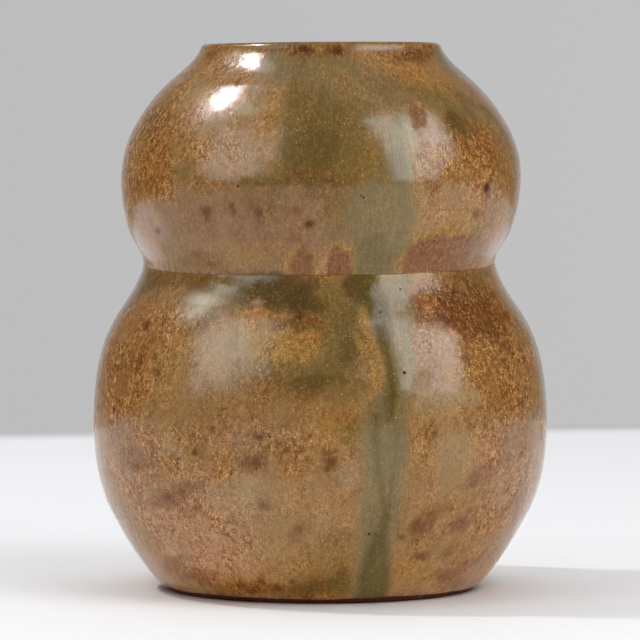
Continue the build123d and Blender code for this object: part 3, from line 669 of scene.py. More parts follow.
def runs_all():
    """Green runs as (kind, strength, edge mm, arc lengths, azimuths, half widths mm)."""
    out = []
    for kind, strength, edge, path in RUNS_FRONT:
        pts = []
        for x, y, hw in path:
            phi, s, across, _ = place(x, y)
            pts.append((s, phi, hw * across))
        pts.sort()
        out.append((kind, strength, edge, *np.array(pts).T))
    sides = [
        # azimuth, from, to, half width at the top and at the bottom, kind, strength, edge
        (101, 109.0, 192.0, 2.5, 9.0, "green", 0.80, 5.0), (108, 0.0, 108.0, 6.5, 3.8, "green", 0.90, 3.4),
        (134, 108.6, 176.0, 3.0, 6.5, "green", 0.55, 4.5), (149, 40.0, 108.0, 7.5, 4.0, "green", 0.75, 4.0),
        (171, 0.0, 108.0, 5.0, 4.4, "green", 0.95, 3.0), (177, 108.6, 196.0, 3.5, 11.0, "green", 0.85, 5.0),
        (169, 10.0, 86.0, 1.4, 1.9, "green_dark", 0.55, 1.4), (206, 60.0, 108.0, 5.0, 3.0, "green", 0.60, 4.0),
        (224, 108.6, 190.0, 3.0, 8.0, "green", 0.80, 5.0), (235, 0.0, 108.0, 6.5, 4.6, "green", 0.90, 3.4),
        (238, 2.0, 64.0, 1.5, 2.4, "green_dark", 0.55, 1.6), (259, 108.6, 168.0, 4.0, 5.5, "green", 0.55, 4.5),
        (111, 4.0, 60.0, 1.4, 2.2, "green_dark", 0.50, 1.6), (178, 110.0, 150.0, 1.6, 2.6, "green_dark", 0.35, 2.0),
    ]
    for k, (az, low, high, top, bottom, kind, strength, edge) in enumerate(sides):
        s = np.linspace(low, high, 14)
        wob = lattice_noise(300 + k, np.stack([s / 26.0, 0 * s, 0 * s], 1)) * 2.8
        u = (s - low) / (high - low)
        width = (bottom + (top - bottom) * u) * (1 + 0.30 * lattice_noise(330 + k, np.stack([s / 14.0, 0 * s, 0 * s + 3.3], 1)))
        if low > 2 and abs(low - WAIST_S) > 3:
            width = width * np.sqrt(np.clip(u * 4.0, 0.0, 1))
        if abs(high - WAIST_S) > 3:
            width = width * np.clip((1 - u) * 3.2, 0.0, 1)
        out.append((kind, strength, edge, s, math.radians(az) + wob / R_FLOW, width))
    return out


def dulls_all():
    out = []
    for x, y, w, h, lean, strength in DULL:
        phi, s, across, up = place(x, y)
        out.append((phi, s, w * across, h * up, lean, strength))
    return out


PATCHES, IRONS, PITS_ALL, RUNS, DULLS = patches_all(), irons_all(), pits_all(), runs_all(), dulls_all()


def turn(a):
    return (a + math.pi) % (2 * math.pi) - math.pi


def run_fields(phi, s):
    """For each run, the signed distance in mm to its edge, and to which side a point lies."""
    q = np.stack([R_FLOW * np.cos(phi), R_FLOW * np.sin(phi), s], 1)
    ragged = 0.55 * lattice_noise(61, q / np.array([3.2, 3.2, 7.0])) + 0.95 * lattice_noise(62, q / np.array([9.0, 9.0, 15.0]))
    out = []
    r = np.interp(s, OUTER_S, OUTER[:, 0])
    for kind, strength, edge, rs, rphi, rw in RUNS:
        c, w = np.interp(s, rs, rphi), np.interp(s, rs, rw)
        side = turn(phi - c) * r
        sd = w - np.abs(side) + ragged * np.clip(w / 3.0, 0.2, 1.0)
        cut = 12.0 if rs[0] < 6 else 0.6 if abs(rs[0] - WAIST_S) > 3 else 0.05
        sd = np.where((s < rs[0] - cut) | (s > rs[-1] + 0.6), -9.0, sd)
        out.append((kind, strength, edge, sd, side))
    return out


def run_height(phi, s):
    """How much thicker the glaze is in its runs, 0..1."""
    h = np.zeros(len(s))
    for kind, strength, edge, sd, side in run_fields(phi, s):
        if kind == "green":
            h = np.maximum(h, smooth(sd, -1.2, 4.0))
    return h


def pattern(phi, s):
    """Colour, grain, fleck, streak and iron of the glaze at each point."""
    n = len(s)
    q = np.stack([R_FLOW * np.cos(phi), R_FLOW * np.sin(phi), s], 1)
    r = np.interp(s, OUTER_S, OUTER[:, 0])
    # warps that make patch edges ragged, at three sizes
    warps = []
    for size, seed in ((16.0, 21), (7.0, 24), (3.0, 27)):
        d = q / np.array([size, size, size * 1.5])
        warps.append((size, fractal(seed, d, 3, 0.6), fractal(seed + 50, d, 3, 0.6)))
    base = fractal(8, q / np.array([20.0, 20.0, 34.0]), 4, 0.55)
    tone = np.empty((n, 3))
    tan, mot, olv = KINDS["tan"], KINDS["mottle"], KINDS["olive"]
    a = smooth(base, 0.02, 0.34)[:, None]
    b = smooth(-base, 0.05, 0.40)[:, None]
    tone[:] = tan[0] * (1 - a - b) + mot[0] * a + olv[0] * b - VEIL
    mix3 = [tan[i] * (1 - a - b) + mot[i] * a + olv[i] * b for i in (1, 2, 3)]
    grain, fleck, streak = (m[:, 0] for m in mix3)

    def blend(kind, w, c=None):
        nonlocal tone, grain, fleck, streak
        look_c, g, f, st = KINDS[kind]
        if c is None:
            c = look_c - 0.5 * (VEIL + VEIL_TABLE)
        tone = tone + (c - tone) * w[:, None]
        grain = grain + (g - grain) * w
        fleck = fleck + (f - fleck) * w
        streak = streak + (st - streak) * w

    for kind, c, pphi, ps, w, h, lean, strength, edge in PATCHES:
        u, v = turn(phi - pphi) * r, s - ps
        near = (np.abs(u) < 1.6 * w + 6) & (np.abs(v) < 1.6 * h + 6)
        if not near.any():
            continue
        idx = np.nonzero(near)[0]
        m = min(w, h)
        size, wu, wv = warps[0 if m > 12 else 1 if m > 4 else 2]
        amp = min(0.62 * m, 0.55 * size)
        fu, fv = warps[2][1][idx], warps[2][2][idx]
        uu, vv = u[idx] + amp * wu[idx] + min(0.25 * m, 0.9) * fu, v[idx] + amp * wv[idx] + min(0.25 * m, 0.9) * fv
        ca, sa = math.cos(math.radians(lean)), math.sin(math.radians(lean))
        du, dv = (uu * ca + vv * sa) / w, (-uu * sa + vv * ca) / h
        d = np.sqrt(du * du + dv * dv)
        full = np.zeros(n)
        full[idx] = strength * (1 - smooth(d, 1.0 - 0.85 * edge, 1.0 + 0.35 * edge))
        blend(kind, full, c)

    fields = run_fields(phi, s)
    for kind, strength, edge, sd, side in fields:
        wgt = strength * smooth(sd, -0.5 * edge, 0.8 * edge)
        if kind == "green":
            # a thin amber line, here and there, along the right edge of a run
            right = np.exp(-(((sd + 0.2) / 0.9) ** 2)) * smooth(side, -0.5, 1.5)
            blend("amber", 0.55 * right * smooth(warps[1][1], -0.35, 0.25))
        blend(kind, wgt)

    tone = np.maximum(tone, 0.006) / lit(s)[:, None] * DENSITY

    # crystals gather in clouds a few mm wide, and thin out between them
    cloud = fractal(33, q / np.array([4.2, 4.2, 7.0]), 4, 0.6)
    grain = np.clip(grain * (1 + 1.3 * cloud) + 0.10 * cloud, 0, 1.25)
    tint = fractal(36, q / np.array([5.0, 5.0, 11.0]), 4, 0.6)
    warm = fractal(39, q / np.array([2.2, 2.2, 5.0]), 3, 0.6)
    busy = np.clip(0.35 + grain, 0, 1)
    tone = tone * (1 + 0.18 * tint + 0.20 * warm * busy)[:, None]
    hue = fractal(48, q / np.array([9.0, 9.0, 13.0]), 4, 0.65)
    tone = tone * (1 + np.stack([0.06 * cloud + 0.05 * hue, -0.03 * cloud - 0.05 * hue, -0.15 * cloud - 0.12 * hue], 1))

    iron = np.zeros(n)
    size, wu, wv = warps[2]
    for pphi, ps, w, h, depth in IRONS:
        u, v = turn(phi - pphi) * r, s - ps
        near = (np.abs(u) < 2.2 * w + 1.5) & (np.abs(v) < 2.2 * h + 1.5)
        if not near.any():
            continue
        idx = np.nonzero(near)[0]
        amp = 0.35 * min(w, h)
        d = np.sqrt(((u[idx] + amp * wu[idx]) / w) ** 2 + ((v[idx] + amp * wv[idx]) / h) ** 2)
        iron[idx] = np.maximum(iron[idx], depth * (1 - smooth(d, 0.25, 1.25)))
    pit = np.zeros(n)
    for pphi, ps, pr in PITS_ALL:
        u, v = turn(phi - pphi) * r, s - ps
        near = (np.abs(u) < 5 * pr) & (np.abs(v) < 5 * pr)
        idx = np.nonzero(near)[0]
        if len(idx):
            d = np.hypot(u[idx], v[idx]) / pr
            pit[idx] = np.maximum(pit[idx], 1 - smooth(d, 0.55, 1.15))
    # where crystals break the gloss
    dull = 0.30 * smooth(fractal(45, q / np.array([7.0, 7.0, 9.0]), 4, 0.6), 0.12, 0.55) * smooth(grain, 0.30, 0.9)
    for dphi, ds, w, h, lean, strength in DULLS:
        u, v = turn(phi - dphi) * r, s - ds
        idx = np.nonzero((np.abs(u) < 1.8 * max(w, h) + 3) & (np.abs(v) < 1.8 * max(w, h) + 3))[0]
        if len(idx):
            m = min(w, h)
            uu = u[idx] + 0.55 * m * warps[1][1][idx] + 1.2 * warps[2][1][idx]
            vv = v[idx] + 0.55 * m * warps[1][2][idx] + 1.2 * warps[2][2][idx]
            ca, sa = math.cos(math.radians(lean)), math.sin(math.radians(lean))
            d = np.hypot((uu * ca + vv * sa) / w, (-uu * sa + vv * ca) / h)
            dull[idx] = np.maximum(dull[idx], strength * (1 - smooth(d, 0.65, 1.2)))
    return tone, np.clip(grain, 0, 1.2), np.clip(fleck, 0, 1), streak, iron, pit, dull


# ------------------------------------------------------------------ the form's own unevenness
def form(phi, z):
    """How far the thrown shape strays from round, mm along the radius; clay and glaze share it."""
    q = np.stack([R_FLOW * np.cos(phi), R_FLOW * np.sin(phi), z], 1)
    d = 0.10 * lattice_noise(5, q / 46.0) + 0.035 * lattice_noise(9, q / 21.0) - 0.14
    # the neck is straighter at the front left
    neck = smooth(z, 156.6, 160.4) * (1 - smooth(z, 160.4, 166.2)) * np.exp(-((turn(phi + math.radians(33)) / 0.55) ** 2))
    # and there the shoulder swings one way, the neck the other
    u = turn(phi + math.radians(33)) / 0.34
    swing = u * np.exp(-u * u) * (0.68 * smooth(z, 154.0, 165.0) - 0.23 * smooth(z, 140.0, 150.0))
    return (d - 0.62 * neck + swing) * (0.25 + 0.75 * smooth(z, 1.0, 12.0))


def relief(phi, s, z):
    """Relief of the glazed outside itself, mm: throwing rings, thicker runs and pinholes."""
    q = np.stack([R_FLOW * np.cos(phi), R_FLOW * np.sin(phi), z], 1)
    rings = 0.014 * np.sin(2 * math.pi * (z / 7.9) + 1.2 * lattice_noise(3, q / 40.0)) * (0.55 + 0.45 * lattice_noise(4, q / 30.0))
    drips = 0.007 * lattice_noise(14, q / np.array([3.4, 3.4, 15.0])) + 0.003 * lattice_noise(16, q / np.array([1.9, 1.9, 3.4]))
    d = rings + drips + 0.05 * run_height(phi, s) - 0.085
    r = np.interp(s, OUTER_S, OUTER[:, 0])
    for pphi, ps, pr in PITS_ALL:
        u, v = turn(phi - pphi) * r, s - ps
        idx = np.nonzero((np.abs(u) < 4 * pr) & (np.abs(v) < 4 * pr))[0]
        if len(idx):
            a = np.hypot(u[idx], v[idx]) / pr
            d[idx] += -0.42 * (1 - smooth(a, 0.35, 1.05)) + 0.025 * np.exp(-(((a - 1.35) / 0.35) ** 2))
    return np.clip(d, -0.58, -0.01)


def round_table(points, width=5.0):
    """A smooth periodic function of the azimuth through (degrees, value) points, as 720 samples."""
    a = np.arange(-180, 180, 0.5)
    v = np.interp(a, *np.array(points, float).T, period=360)
    k = np.exp(-((np.arange(-40, 41) * 0.5 / width) ** 2))
    k /= k.sum()
    return np.convolve(np.concatenate([v[-40:], v, v[:40]]), k, "valid")


# the crease isn't level: mm above its mean height, by azimuth from the front
CREASE = round_table([(-180, 0.1), (-130, 0.6), (-92, 1.2), (-76, 0.8), (-62, -0.1), (-45, -0.45), (-20, -0.2), (0, -0.1), (22, -0.1), (45, 0.3), (68, 0.65), (84, 1.7), (100, 1.5), (140, 0.4)])
# nor is the lip
LIP = round_table([(-180, -0.75), (-120, -0.70), (-75, -0.62), (-40, -0.42), (-10, -0.16), (20, -0.08), (60, -0.06), (85, -0.25), (120, -0.55)], 9.0)


def by_azimuth(samples, phi):
    return np.interp(np.degrees(turn(phi)), np.arange(-180, 180, 0.5), samples, period=360)


def shift_x(z):
    """The pot leans a little: how far its centre lies to the right at each height, mm."""
    return np.interp(z, [0, 12, 30, 48, 70, 86, 95, 100, 108, 120, 134, 150, 170], [-0.20, -0.05, 0.10, 0.12, 0.05, 0.0, -0.2, -0.28, -0.15, 0.1, 0.4, 0.45, 0.35])


def settle(phi, r, z):
    """From a turned shape (azimuth, radius, height) to the pot as it stands, in mm."""
    zz = z + by_azimuth(CREASE, phi) * np.exp(-(((z - WAIST_Z) / 6.5) ** 2))
    zz = zz + by_azimuth(LIP, phi) * smooth(z, 148.0, 168.0)
    rr = r + form(phi, z) * smooth(r, 18.0, 36.0)
    return np.stack([rr * np.sin(phi) + shift_x(z) * smooth(z, 4.0, 30.0), -rr * np.cos(phi), zz], 1)


# ------------------------------------------------------------------ meshes
def make_object(name, verts, faces, smooth_faces=True):
    me = bpy.data.meshes.new(name)
    me.from_pydata((np.asarray(verts, float) * MM).tolist(), [], [list(map(int, q)) for q in faces])
    me.validate()
    me.polygons.foreach_set("use_smooth", np.full(len(me.polygons), smooth_faces))
    me.update()
    ob = bpy.data.objects.new(name, me)
    bpy.context.scene.collection.objects.link(ob)
    return ob


def attribute(ob, name, values, kind="FLOAT"):
    at = ob.data.attributes.new(name, kind, "POINT")
    field = {"FLOAT": "value", "FLOAT_VECTOR": "vector", "FLOAT_COLOR": "color"}[kind]
    at.data.foreach_set(field, np.ascontiguousarray(values, np.float32).ravel())


def grid(rows, n_theta, closed):
    """Vertices (azimuth, t) and quads of a sheet wrapped round the axis; rows is an array of t. Quads turn outwards for a path that
    runs with the outside on its right."""
    phi = np.linspace(-math.pi, math.pi, n_theta, endpoint=False)
    verts = np.stack([np.tile(phi, len(rows)), np.repeat(rows, n_theta)], 1)
    idx = np.arange(len(rows) * n_theta).reshape(len(rows), n_theta)
    faces = []
    for i in range(len(rows) if closed else len(rows) - 1):
        a, b = idx[i], idx[(i + 1) % len(rows)]
        faces.append(np.stack([a, np.roll(a, -1), np.roll(b, -1), b], 1))
    return verts, np.vstack(faces)


def refine(verts, faces, centres, radius, cuts):
    """Splits the quads near each centre (azimuth, t) into smaller ones, on the pattern's cylinder."""
    bm = bmesh.new()
    pos = np.stack([R_FLOW * np.cos(verts[:, 0]), R_FLOW * np.sin(verts[:, 0]), verts[:, 1]], 1)
    bvs = [bm.verts.new(p) for p in pos.tolist()]
    for f in faces.tolist():
        bm.faces.new([bvs[k] for k in f])
    bm.verts.ensure_lookup_table()
    bm.faces.ensure_lookup_table()
    centre = pos[faces].mean(1)
    pick = set()
    for (phi, t), rad in zip(centres, radius):
        c = np.array([R_FLOW * math.cos(phi), R_FLOW * math.sin(phi), t])
        pick.update(np.nonzero(np.linalg.norm(centre - c, axis=1) < rad)[0].tolist())
    edges = {e for k in pick for e in bm.faces[k].edges}
    bmesh.ops.subdivide_edges(bm, edges=list(edges), cuts=cuts, use_grid_fill=True)
    bm.verts.index_update()
    p = np.array([v.co[:] for v in bm.verts])
    out = np.stack([np.arctan2(p[:, 1], p[:, 0]), p[:, 2]], 1)
    fs = [[v.index for v in f.verts] for f in bm.faces]
    bm.free()
    return out, fs


def flat_map(ob, phi, t, visible_t, total_t, hidden_share=0.06):
    """UV map for baking: the shown part of the sheet as two stacked half rounds, the hidden back as a thin band below."""
    me = ob.data
    layer = me.uv_layers.new(name="OFBake")
    n = len(me.loops)
    vi = np.empty(n, np.int32)
    me.loops.foreach_get("vertex_index", vi)
    counts = np.empty(len(me.polygons), np.int32)
    me.polygons.foreach_get("loop_total", counts)
    poly = np.repeat(np.arange(len(counts)), counts)
    # angles unwrapped round each face's first corner
    first = np.concatenate([[0], np.cumsum(counts)[:-1]])
    a0 = phi[vi[first]][poly]
    a = a0 + turn(phi[vi] - a0)
    t0 = t[vi[first]][poly]
    tt = t[vi].copy()
    jump = total_t / 2
    tt = np.where(tt - t0 > jump, tt - total_t, tt)
    tt = np.where(tt - t0 < -jump, tt + total_t, tt)
    am = np.bincount(poly, a) / counts
    tm = np.bincount(poly, tt) / counts
    turns = np.floor((am + math.pi) / (2 * math.pi))[poly]
    a = a - turns * 2 * math.pi
    am = am - np.floor((am + math.pi) / (2 * math.pi)) * 2 * math.pi
    wrap = np.where(tm < 0, 1, 0)[poly]
    tt = tt + wrap * total_t
    tm = tm + np.where(tm < 0, total_t, 0)
    lo_t, hi_t = visible_t
    shown = (tm > lo_t) & (tm < hi_t)
    strip = (am > 0).astype(int)
    m = 0.004
    uv = np.empty((n, 2))
    half = (1 - hidden_share - 4 * m) / 2
    s_poly, sh_poly = strip[poly], shown[poly]
    u = (a - np.where(s_poly == 1, 0, -math.pi)) / math.pi
    v = (tt - lo_t) / (hi_t - lo_t)
    uv[:, 0] = m + (1 - 2 * m) * np.clip(u, 0, 1)
    uv[:, 1] = np.where(s_poly == 1, hidden_share + 3 * m + half, hidden_share + 2 * m) + half * np.clip(v, 0, 1)
    # hidden faces: the whole turn once, in one band
    hid = ~sh_poly
    th = np.where(tt < lo_t, tt + total_t, tt)
    vh = (th - hi_t) / (total_t - (hi_t - lo_t))
    uv[hid, 0] = (m + (1 - 2 * m) * np.clip((a + math.pi) / (2 * math.pi), 0, 1))[hid]
    uv[hid, 1] = (m + (hidden_share - m) * np.clip(vh, 0, 1))[hid]
    layer.data.foreach_set("uv", uv.astype(np.float32).ravel())
    layer.active = True
    layer.active_render = True


def rows_by_density(total, spans):
    """Row positions along t: spans is a list of (from, to, spacing)."""
    out = []
    for lo, hi, step in spans:
        n = max(1, int(round((hi - lo) / step)))
        out.append(np.linspace(lo, hi, n, endpoint=False))
    return np.concatenate(out + [[spans[-1][1]]]) if spans[-1][1] < total else np.concatenate(out)


def offset(path, distance):
    """The same curve moved along its normals, to the left of travel for a negative distance."""
    d = np.gradient(path, arc_length(path), axis=0)
    k = np.ones(41) / 41
    d = np.stack([np.convolve(np.pad(d[:, i], 20, "edge"), k, "valid") for i in (0, 1)], 1)
    n = np.stack([d[:, 1], -d[:, 0]], 1)
    return path + distance * n / np.linalg.norm(n, axis=1)[:, None]


def arc(cx, cz, ax, az, start, end, n=40):
    """Points of an ellipse's arc, in degrees."""
    a = np.radians(np.linspace(start, end, n))
    return np.stack([cx + ax * np.cos(a), cz + az * np.sin(a)], 1)


def glaze_piece(name, path, outer_t, s_of_t, n_theta, spans, pits, nudge=None):
    """One half of the outside coat as a closed shell. outer_t: (from, to) of its visible side along the path."""
    total = path.t[-1]
    rows = rows_by_density(total, spans)
    verts, faces = grid(rows, n_theta, True)
    centres, radius = [], []
    for phi, s, r in pits:
        t = float(np.interp(s, s_of_t[1], s_of_t[0]))
        centres.append((phi, t))
        radius.append(max(1.35, 2.2 * r))
    verts, faces = refine(verts, faces, centres, radius, 4)
    phi, t = verts[:, 0], verts[:, 1]
    r, z, nr, nz = path.at(t)
    s = np.interp(t, s_of_t[0], s_of_t[1])
    outside = smooth(t, outer_t[0] - 0.1, outer_t[0] + 0.5) * (1 - smooth(t, outer_t[1] - 0.5, outer_t[1] + 0.1))
    d = relief(phi, s, z) * outside
    r, z = r + d * nr, z + d * nz
    if nudge is not None:
        dr, dz = nudge(phi, t)
        r, z = r + dr, z + dz
    ob = make_object(name, settle(phi, r, z), faces)
    return ob, phi, t, s


def dress(ob, phi, s, thin=None):
    """Writes the glaze's pattern on a piece."""
    tone, grain, fleck, streak, iron, pit, dull = pattern(phi, s)
    if thin is not None:
        c, g, f, st = KINDS["brown"]
        tone = tone + (under_gloss(c, 0.9) - tone) * thin[:, None]
        grain = grain + (0.35 - grain) * thin
    write_pattern(ob, phi, s, tone, grain, fleck, streak, iron, pit, dull)


def write_pattern(ob, phi, s, tone, grain, fleck, streak, iron, pit, dull):
    attribute(ob, "tone", np.concatenate([tone, np.ones((len(s), 1))], 1), "FLOAT_COLOR")
    attribute(ob, "grain", grain)
    attribute(ob, "fleck", fleck)
    attribute(ob, "streak", streak)
    attribute(ob, "iron", iron)
    attribute(ob, "pit", pit)
    attribute(ob, "dull", dull)
    flow = np.stack([R_FLOW * np.cos(phi), R_FLOW * np.sin(phi), s], 1)
    attribute(ob, "flow", flow, "FLOAT_VECTOR")


# --- outside glaze, lower half: from the glaze line up to the crease, then down its back against the clay
belly, bulb, inside = curve(BELLY, 2200), curve(BULB, 1700), curve(INSIDE, 2600)
belly_front = belly[belly[:, 1] < 99.6]
groove = [(54.94, 99.68), (54.91, 99.80), (54.84, 99.87), (54.70, 99.895), (54.34, 99.895)]
belly_back = offset(belly, -0.66)[::-1]
back = np.vstack([[(54.34, 99.80)], belly_back[(belly_back[:, 1] < 99.3)]])
mid, half = (belly_front[0] + back[-1]) / 2, np.linalg.norm(belly_front[0] - back[-1]) / 2
turn0 = math.degrees(math.atan2(*(back[-1] - mid)[::-1]))
bead = arc(mid[0], mid[1], half, half, turn0, turn0 + 180.0, 24)
low_path = Profile(belly_front, dense(groove), back, bead[1:-1])
t_low = arc_length(belly_front)[-1] + arc_length(np.array(groove))[-1]
s_low = (np.array([0.0, t_low, low_path.t[-1]]), np.array([0.0, WAIST_S, WAIST_S]))
TL = low_path.t[-1]


def glaze_line(phi, t):
    """The glaze's lower edge wavers: it stops a little higher here and there, along the clay."""
    q = np.stack([np.cos(phi) * 5.0, np.sin(phi) * 5.0, 0 * phi], 1)
    near = np.exp(-((np.minimum(t, np.abs(TL - t)) / 2.4) ** 2))
    up = 0.26 + 0.22 * lattice_noise(90, q) + 0.12 * lattice_noise(91, q * 2.7) + 0.55 * np.exp(-((turn(phi - 0.42) / 0.13) ** 2))
    return 0.714 * up * near, 0.70 * up * near


low_spans = [
    (0, 2.4, 0.40), (2.4, t_low - 2.2, 0.80), (t_low - 2.2, t_low - 0.6, 0.45), (t_low - 0.6, t_low + 0.2, 0.12),
    (t_low + 0.2, TL - 2.6, 7.5), (TL - 2.6, TL - 1.1, 0.8), (TL - 1.1, TL, 0.16),
]
pits_low = [p for p in PITS_ALL if p[1] < WAIST_S - 1.5]
glaze_lower, phi_l, t_l, sv_l = glaze_piece("glaze_lower", low_path, (0, t_low - 0.3), s_low, 560, low_spans, pits_low, glaze_line)
dress(glaze_lower, phi_l, sv_l)
flat_map(glaze_lower, phi_l, t_l, (0.0, t_low), TL)

# --- upper half: crease to lip, over the lip, down the mouth, and its back
bulb_front = bulb[(bulb[:, 1] > 100.2) & (bulb[:, 1] < 168.3)]
groove_up = [(54.34, 99.905), (54.70, 99.905), (54.84, 99.93), (54.91, 100.0), (54.95, 100.12)]
lip_mid, lip_half = (LIP_R + MOUTH_R) / 2, (LIP_R - MOUTH_R) / 2
lip = arc(lip_mid, 168.3, lip_half, 1.68, 0, 180, 60)
mouth = np.stack([np.full(40, MOUTH_R), np.linspace(168.25, MOUTH_BOTTOM + 0.2, 40)], 1)
mouth_end = [(MOUTH_R, MOUTH_BOTTOM + 0.2), (MOUTH_R + 0.12, MOUTH_BOTTOM + 0.01), (MOUTH_R + 0.64, MOUTH_BOTTOM + 0.01)]
bulb_back = offset(bulb, -0.66)[::-1]
lip_back = arc(35.375, 167.97, 1.515, 1.37, 180, 0, 40)
back_up = np.vstack([bulb_back[(bulb_back[:, 1] < 167.7) & (bulb_back[:, 1] > 100.5)], [(54.34, 100.0)]])
up_path = Profile(dense(groove_up), bulb_front, lip, mouth, dense(mouth_end), lip_back, back_up)
t_g = arc_length(np.array(groove_up))[-1]
t_bulb = t_g + arc_length(bulb_front)[-1]
t_lip = t_bulb + arc_length(lip)[-1]
t_mouth = t_lip + arc_length(mouth)[-1]
TU = up_path.t[-1]
s_up = (
    np.array([0.0, t_g, t_bulb, TU]),
    np.array([WAIST_S, WAIST_S + 0.2, float(OUTER_S[-1]), float(OUTER_S[-1]) + TU - t_bulb]),
)
up_spans = [
    (0, 0.8, 0.12), (0.8, 2.6, 0.45), (2.6, t_bulb, 0.80), (t_bulb, t_lip, 0.36), (t_lip, t_mouth + 0.3, 0.7),
    (t_mouth + 0.3, t_mouth + 1.2, 0.3), (t_mouth + 1.2, t_mouth + 11.0, 1.6), (t_mouth + 11.0, TU - 0.6, 7.5), (TU - 0.6, TU, 0.3),
]
pits_up = [p for p in PITS_ALL if p[1] > WAIST_S + 1.5]
glaze_upper, phi_u, t_u, sv_u = glaze_piece("glaze_upper", up_path, (0.4, t_mouth), s_up, 500, up_spans, pits_up)
dress(glaze_upper, phi_u, sv_u, 0.75 * smooth(t_u, t_bulb + 1.0, t_bulb + 3.0))
flat_map(glaze_upper, phi_u, t_u, (0.0, t_mouth), TU)


def turned(name, path, spans, n_theta, poles=False, extra=None):
    """A clay or lining piece turned round the axis; with poles, the path starts and ends on the axis."""
    rows = rows_by_density(path.t[-1], spans)
    if poles:
        rows = rows[(rows > 1e-3) & (rows < path.t[-1] - 1e-3)]
    verts, faces = grid(rows, n_theta, not poles)
    phi, t = verts[:, 0], verts[:, 1]
    faces = faces.tolist()
    if poles:
        n = len(verts)
        last = n - n_theta
        faces += [[n, (k + 1) % n_theta, k] for k in range(n_theta)]
        faces += [[last + k, last + (k + 1) % n_theta, n + 1] for k in range(n_theta)]
        phi = np.concatenate([phi, [0.0, 0.0]])
        t = np.concatenate([t, [0.0, path.t[-1]]])
    r, z, nr, nz = path.at(t)
    if extra is not None:
        dr, dz = extra(phi, t, r, z, nr, nz)
        r, z = r + dr, z + dz
    ob = make_object(name, settle(phi, r, z), faces)
    return ob, phi, t, r, z


# --- clay of the lower section: turned foot, belly, keyed edge, inside wall and floor
JOINT_LOW, JOINT_HIGH, KEY = 99.65, 100.15, 1.4
foot = curve([
    (0.0, 2.80), (12.0, 2.76), (25.0, 2.70), (35.0, 2.64), (38.2, 2.58), (39.2, 2.25), (39.9, 1.45), (40.3, 0.62), (40.7, 0.14),
    (41.4, 0.0), (44.0, 0.0), (46.6, 0.0), (47.3, 0.09), (47.75, 0.42), (48.5, 1.28), (49.0, 1.80), (49.30, 2.04),
], 2400)
belly_clay = offset(belly, -0.70)
belly_clay = belly_clay[(belly_clay[:, 1] > 2.2) & (belly_clay[:, 1] < 99.2)]
clay_in = offset(inside, 0.40)
clay_in[0, 0] = 0.0
clay_in[:, 0] = np.maximum(clay_in[:, 0], 0.0)
low_wall = clay_in[clay_in[:, 1] < JOINT_LOW - 0.02]
joint = [(54.2, JOINT_LOW), (52.2, JOINT_LOW), (52.2, JOINT_LOW + KEY), (50.4, JOINT_LOW + KEY), (50.4, JOINT_LOW), (49.02, JOINT_LOW)]
clay_path = Profile(foot, belly_clay, dense(joint, 0.1), low_wall[::-1], smooth_normals=5)
t_foot = arc_length(foot)[-1]
t_joint = t_foot + arc_length(np.vstack([foot[-1], belly_clay]))[-1]
TC = clay_path.t[-1]


def trimmed(phi, t, r, z, nr, nz):
    """Marks of the turning tool: a spiral in the hollow foot, and a fainter one on the ring."""
    hollow = (1 - smooth(r, 37.2, 38.6)) * smooth(r, 1.5, 4.0) * (t < t_foot)
    spiral = np.sin(2 * math.pi * (r / 2.35 - phi / (2 * math.pi))) + 0.3 * np.sin(2 * math.pi * (r / 1.31 - phi / (2 * math.pi)))
    ring = smooth(r, 41.4, 42.2) * (1 - smooth(r, 46.0, 46.8)) * (t < t_foot) * (z < 1.0)
    q = np.stack([r * np.cos(phi), r * np.sin(phi), z], 1)
    rise = ring * (0.03 + 0.03 * np.sin(2 * math.pi * (r / 1.15)) + 0.02 * lattice_noise(72, q / 2.5))
    edge = (t < t_foot) * np.exp(-(((r - 47.6) / 0.9) ** 2)) * 0.08 * lattice_noise(73, q / 6.0)
    return edge, 0.075 * spiral * hollow + rise + 0.05 * hollow * lattice_noise(71, q / 7.0)


clay_spans = [
    (0, 37.0, 0.42), (37.0, t_foot, 0.30), (t_foot, t_foot + 4.0, 1.0), (t_foot + 4.0, t_joint - 2.0, 6.0), (t_joint - 2.0, t_joint + 10.5, 0.45),
    (t_joint + 10.5, TC - 2.0, 5.0), (TC - 2.0, TC, 1.0),
]
clay_lower, phi_c, t_c, r_c, z_c = turned("clay_lower", clay_path, clay_spans, 288, True, trimmed)
toast = smooth(r_c, 40.0, 46.8) * (1 - smooth(z_c, 3.0, 9.0)) * (t_c < t_foot + 8)
attribute(clay_lower, "toast", toast)

# --- clay of the upper section: grooved edge, shoulder, lip, mouth and inside wall
bulb_clay = offset(bulb, -0.70)
bulb_clay = bulb_clay[(bulb_clay[:, 1] > 100.6) & (bulb_clay[:, 1] < 167.6)]
up_wall = clay_in[(clay_in[:, 1] > JOINT_HIGH + 0.02) & (clay_in[:, 1] < 163.5)]
joint_up = [
    (49.02, JOINT_HIGH), (49.9, JOINT_HIGH), (49.9, JOINT_HIGH + KEY), (52.7, JOINT_HIGH + KEY), (52.7, JOINT_HIGH), (54.2, JOINT_HIGH),
]
clay_lip = arc(35.375, 167.93, 1.475, 1.33, 0, 180, 40)
up_clay_path = Profile(dense(joint_up, 0.1), bulb_clay, clay_lip, np.array([(33.9, 167.9), (33.9, 163.7)]), up_wall[::-1], smooth_normals=5)
TUC = up_clay_path.t[-1]
t_ju = arc_length(np.array(joint_up))[-1]
up_clay_spans = [(0, t_ju, 0.45), (t_ju, t_ju + 72.0, 5.0), (t_ju + 72.0, t_ju + 90.0, 0.8), (t_ju + 90.0, TUC, 5.0)]
clay_upper, phi_k, t_k, r_k, z_k = turned("clay_upper", up_clay_path, up_clay_spans, 240)
attribute(clay_upper, "toast", np.zeros(len(phi_k)))

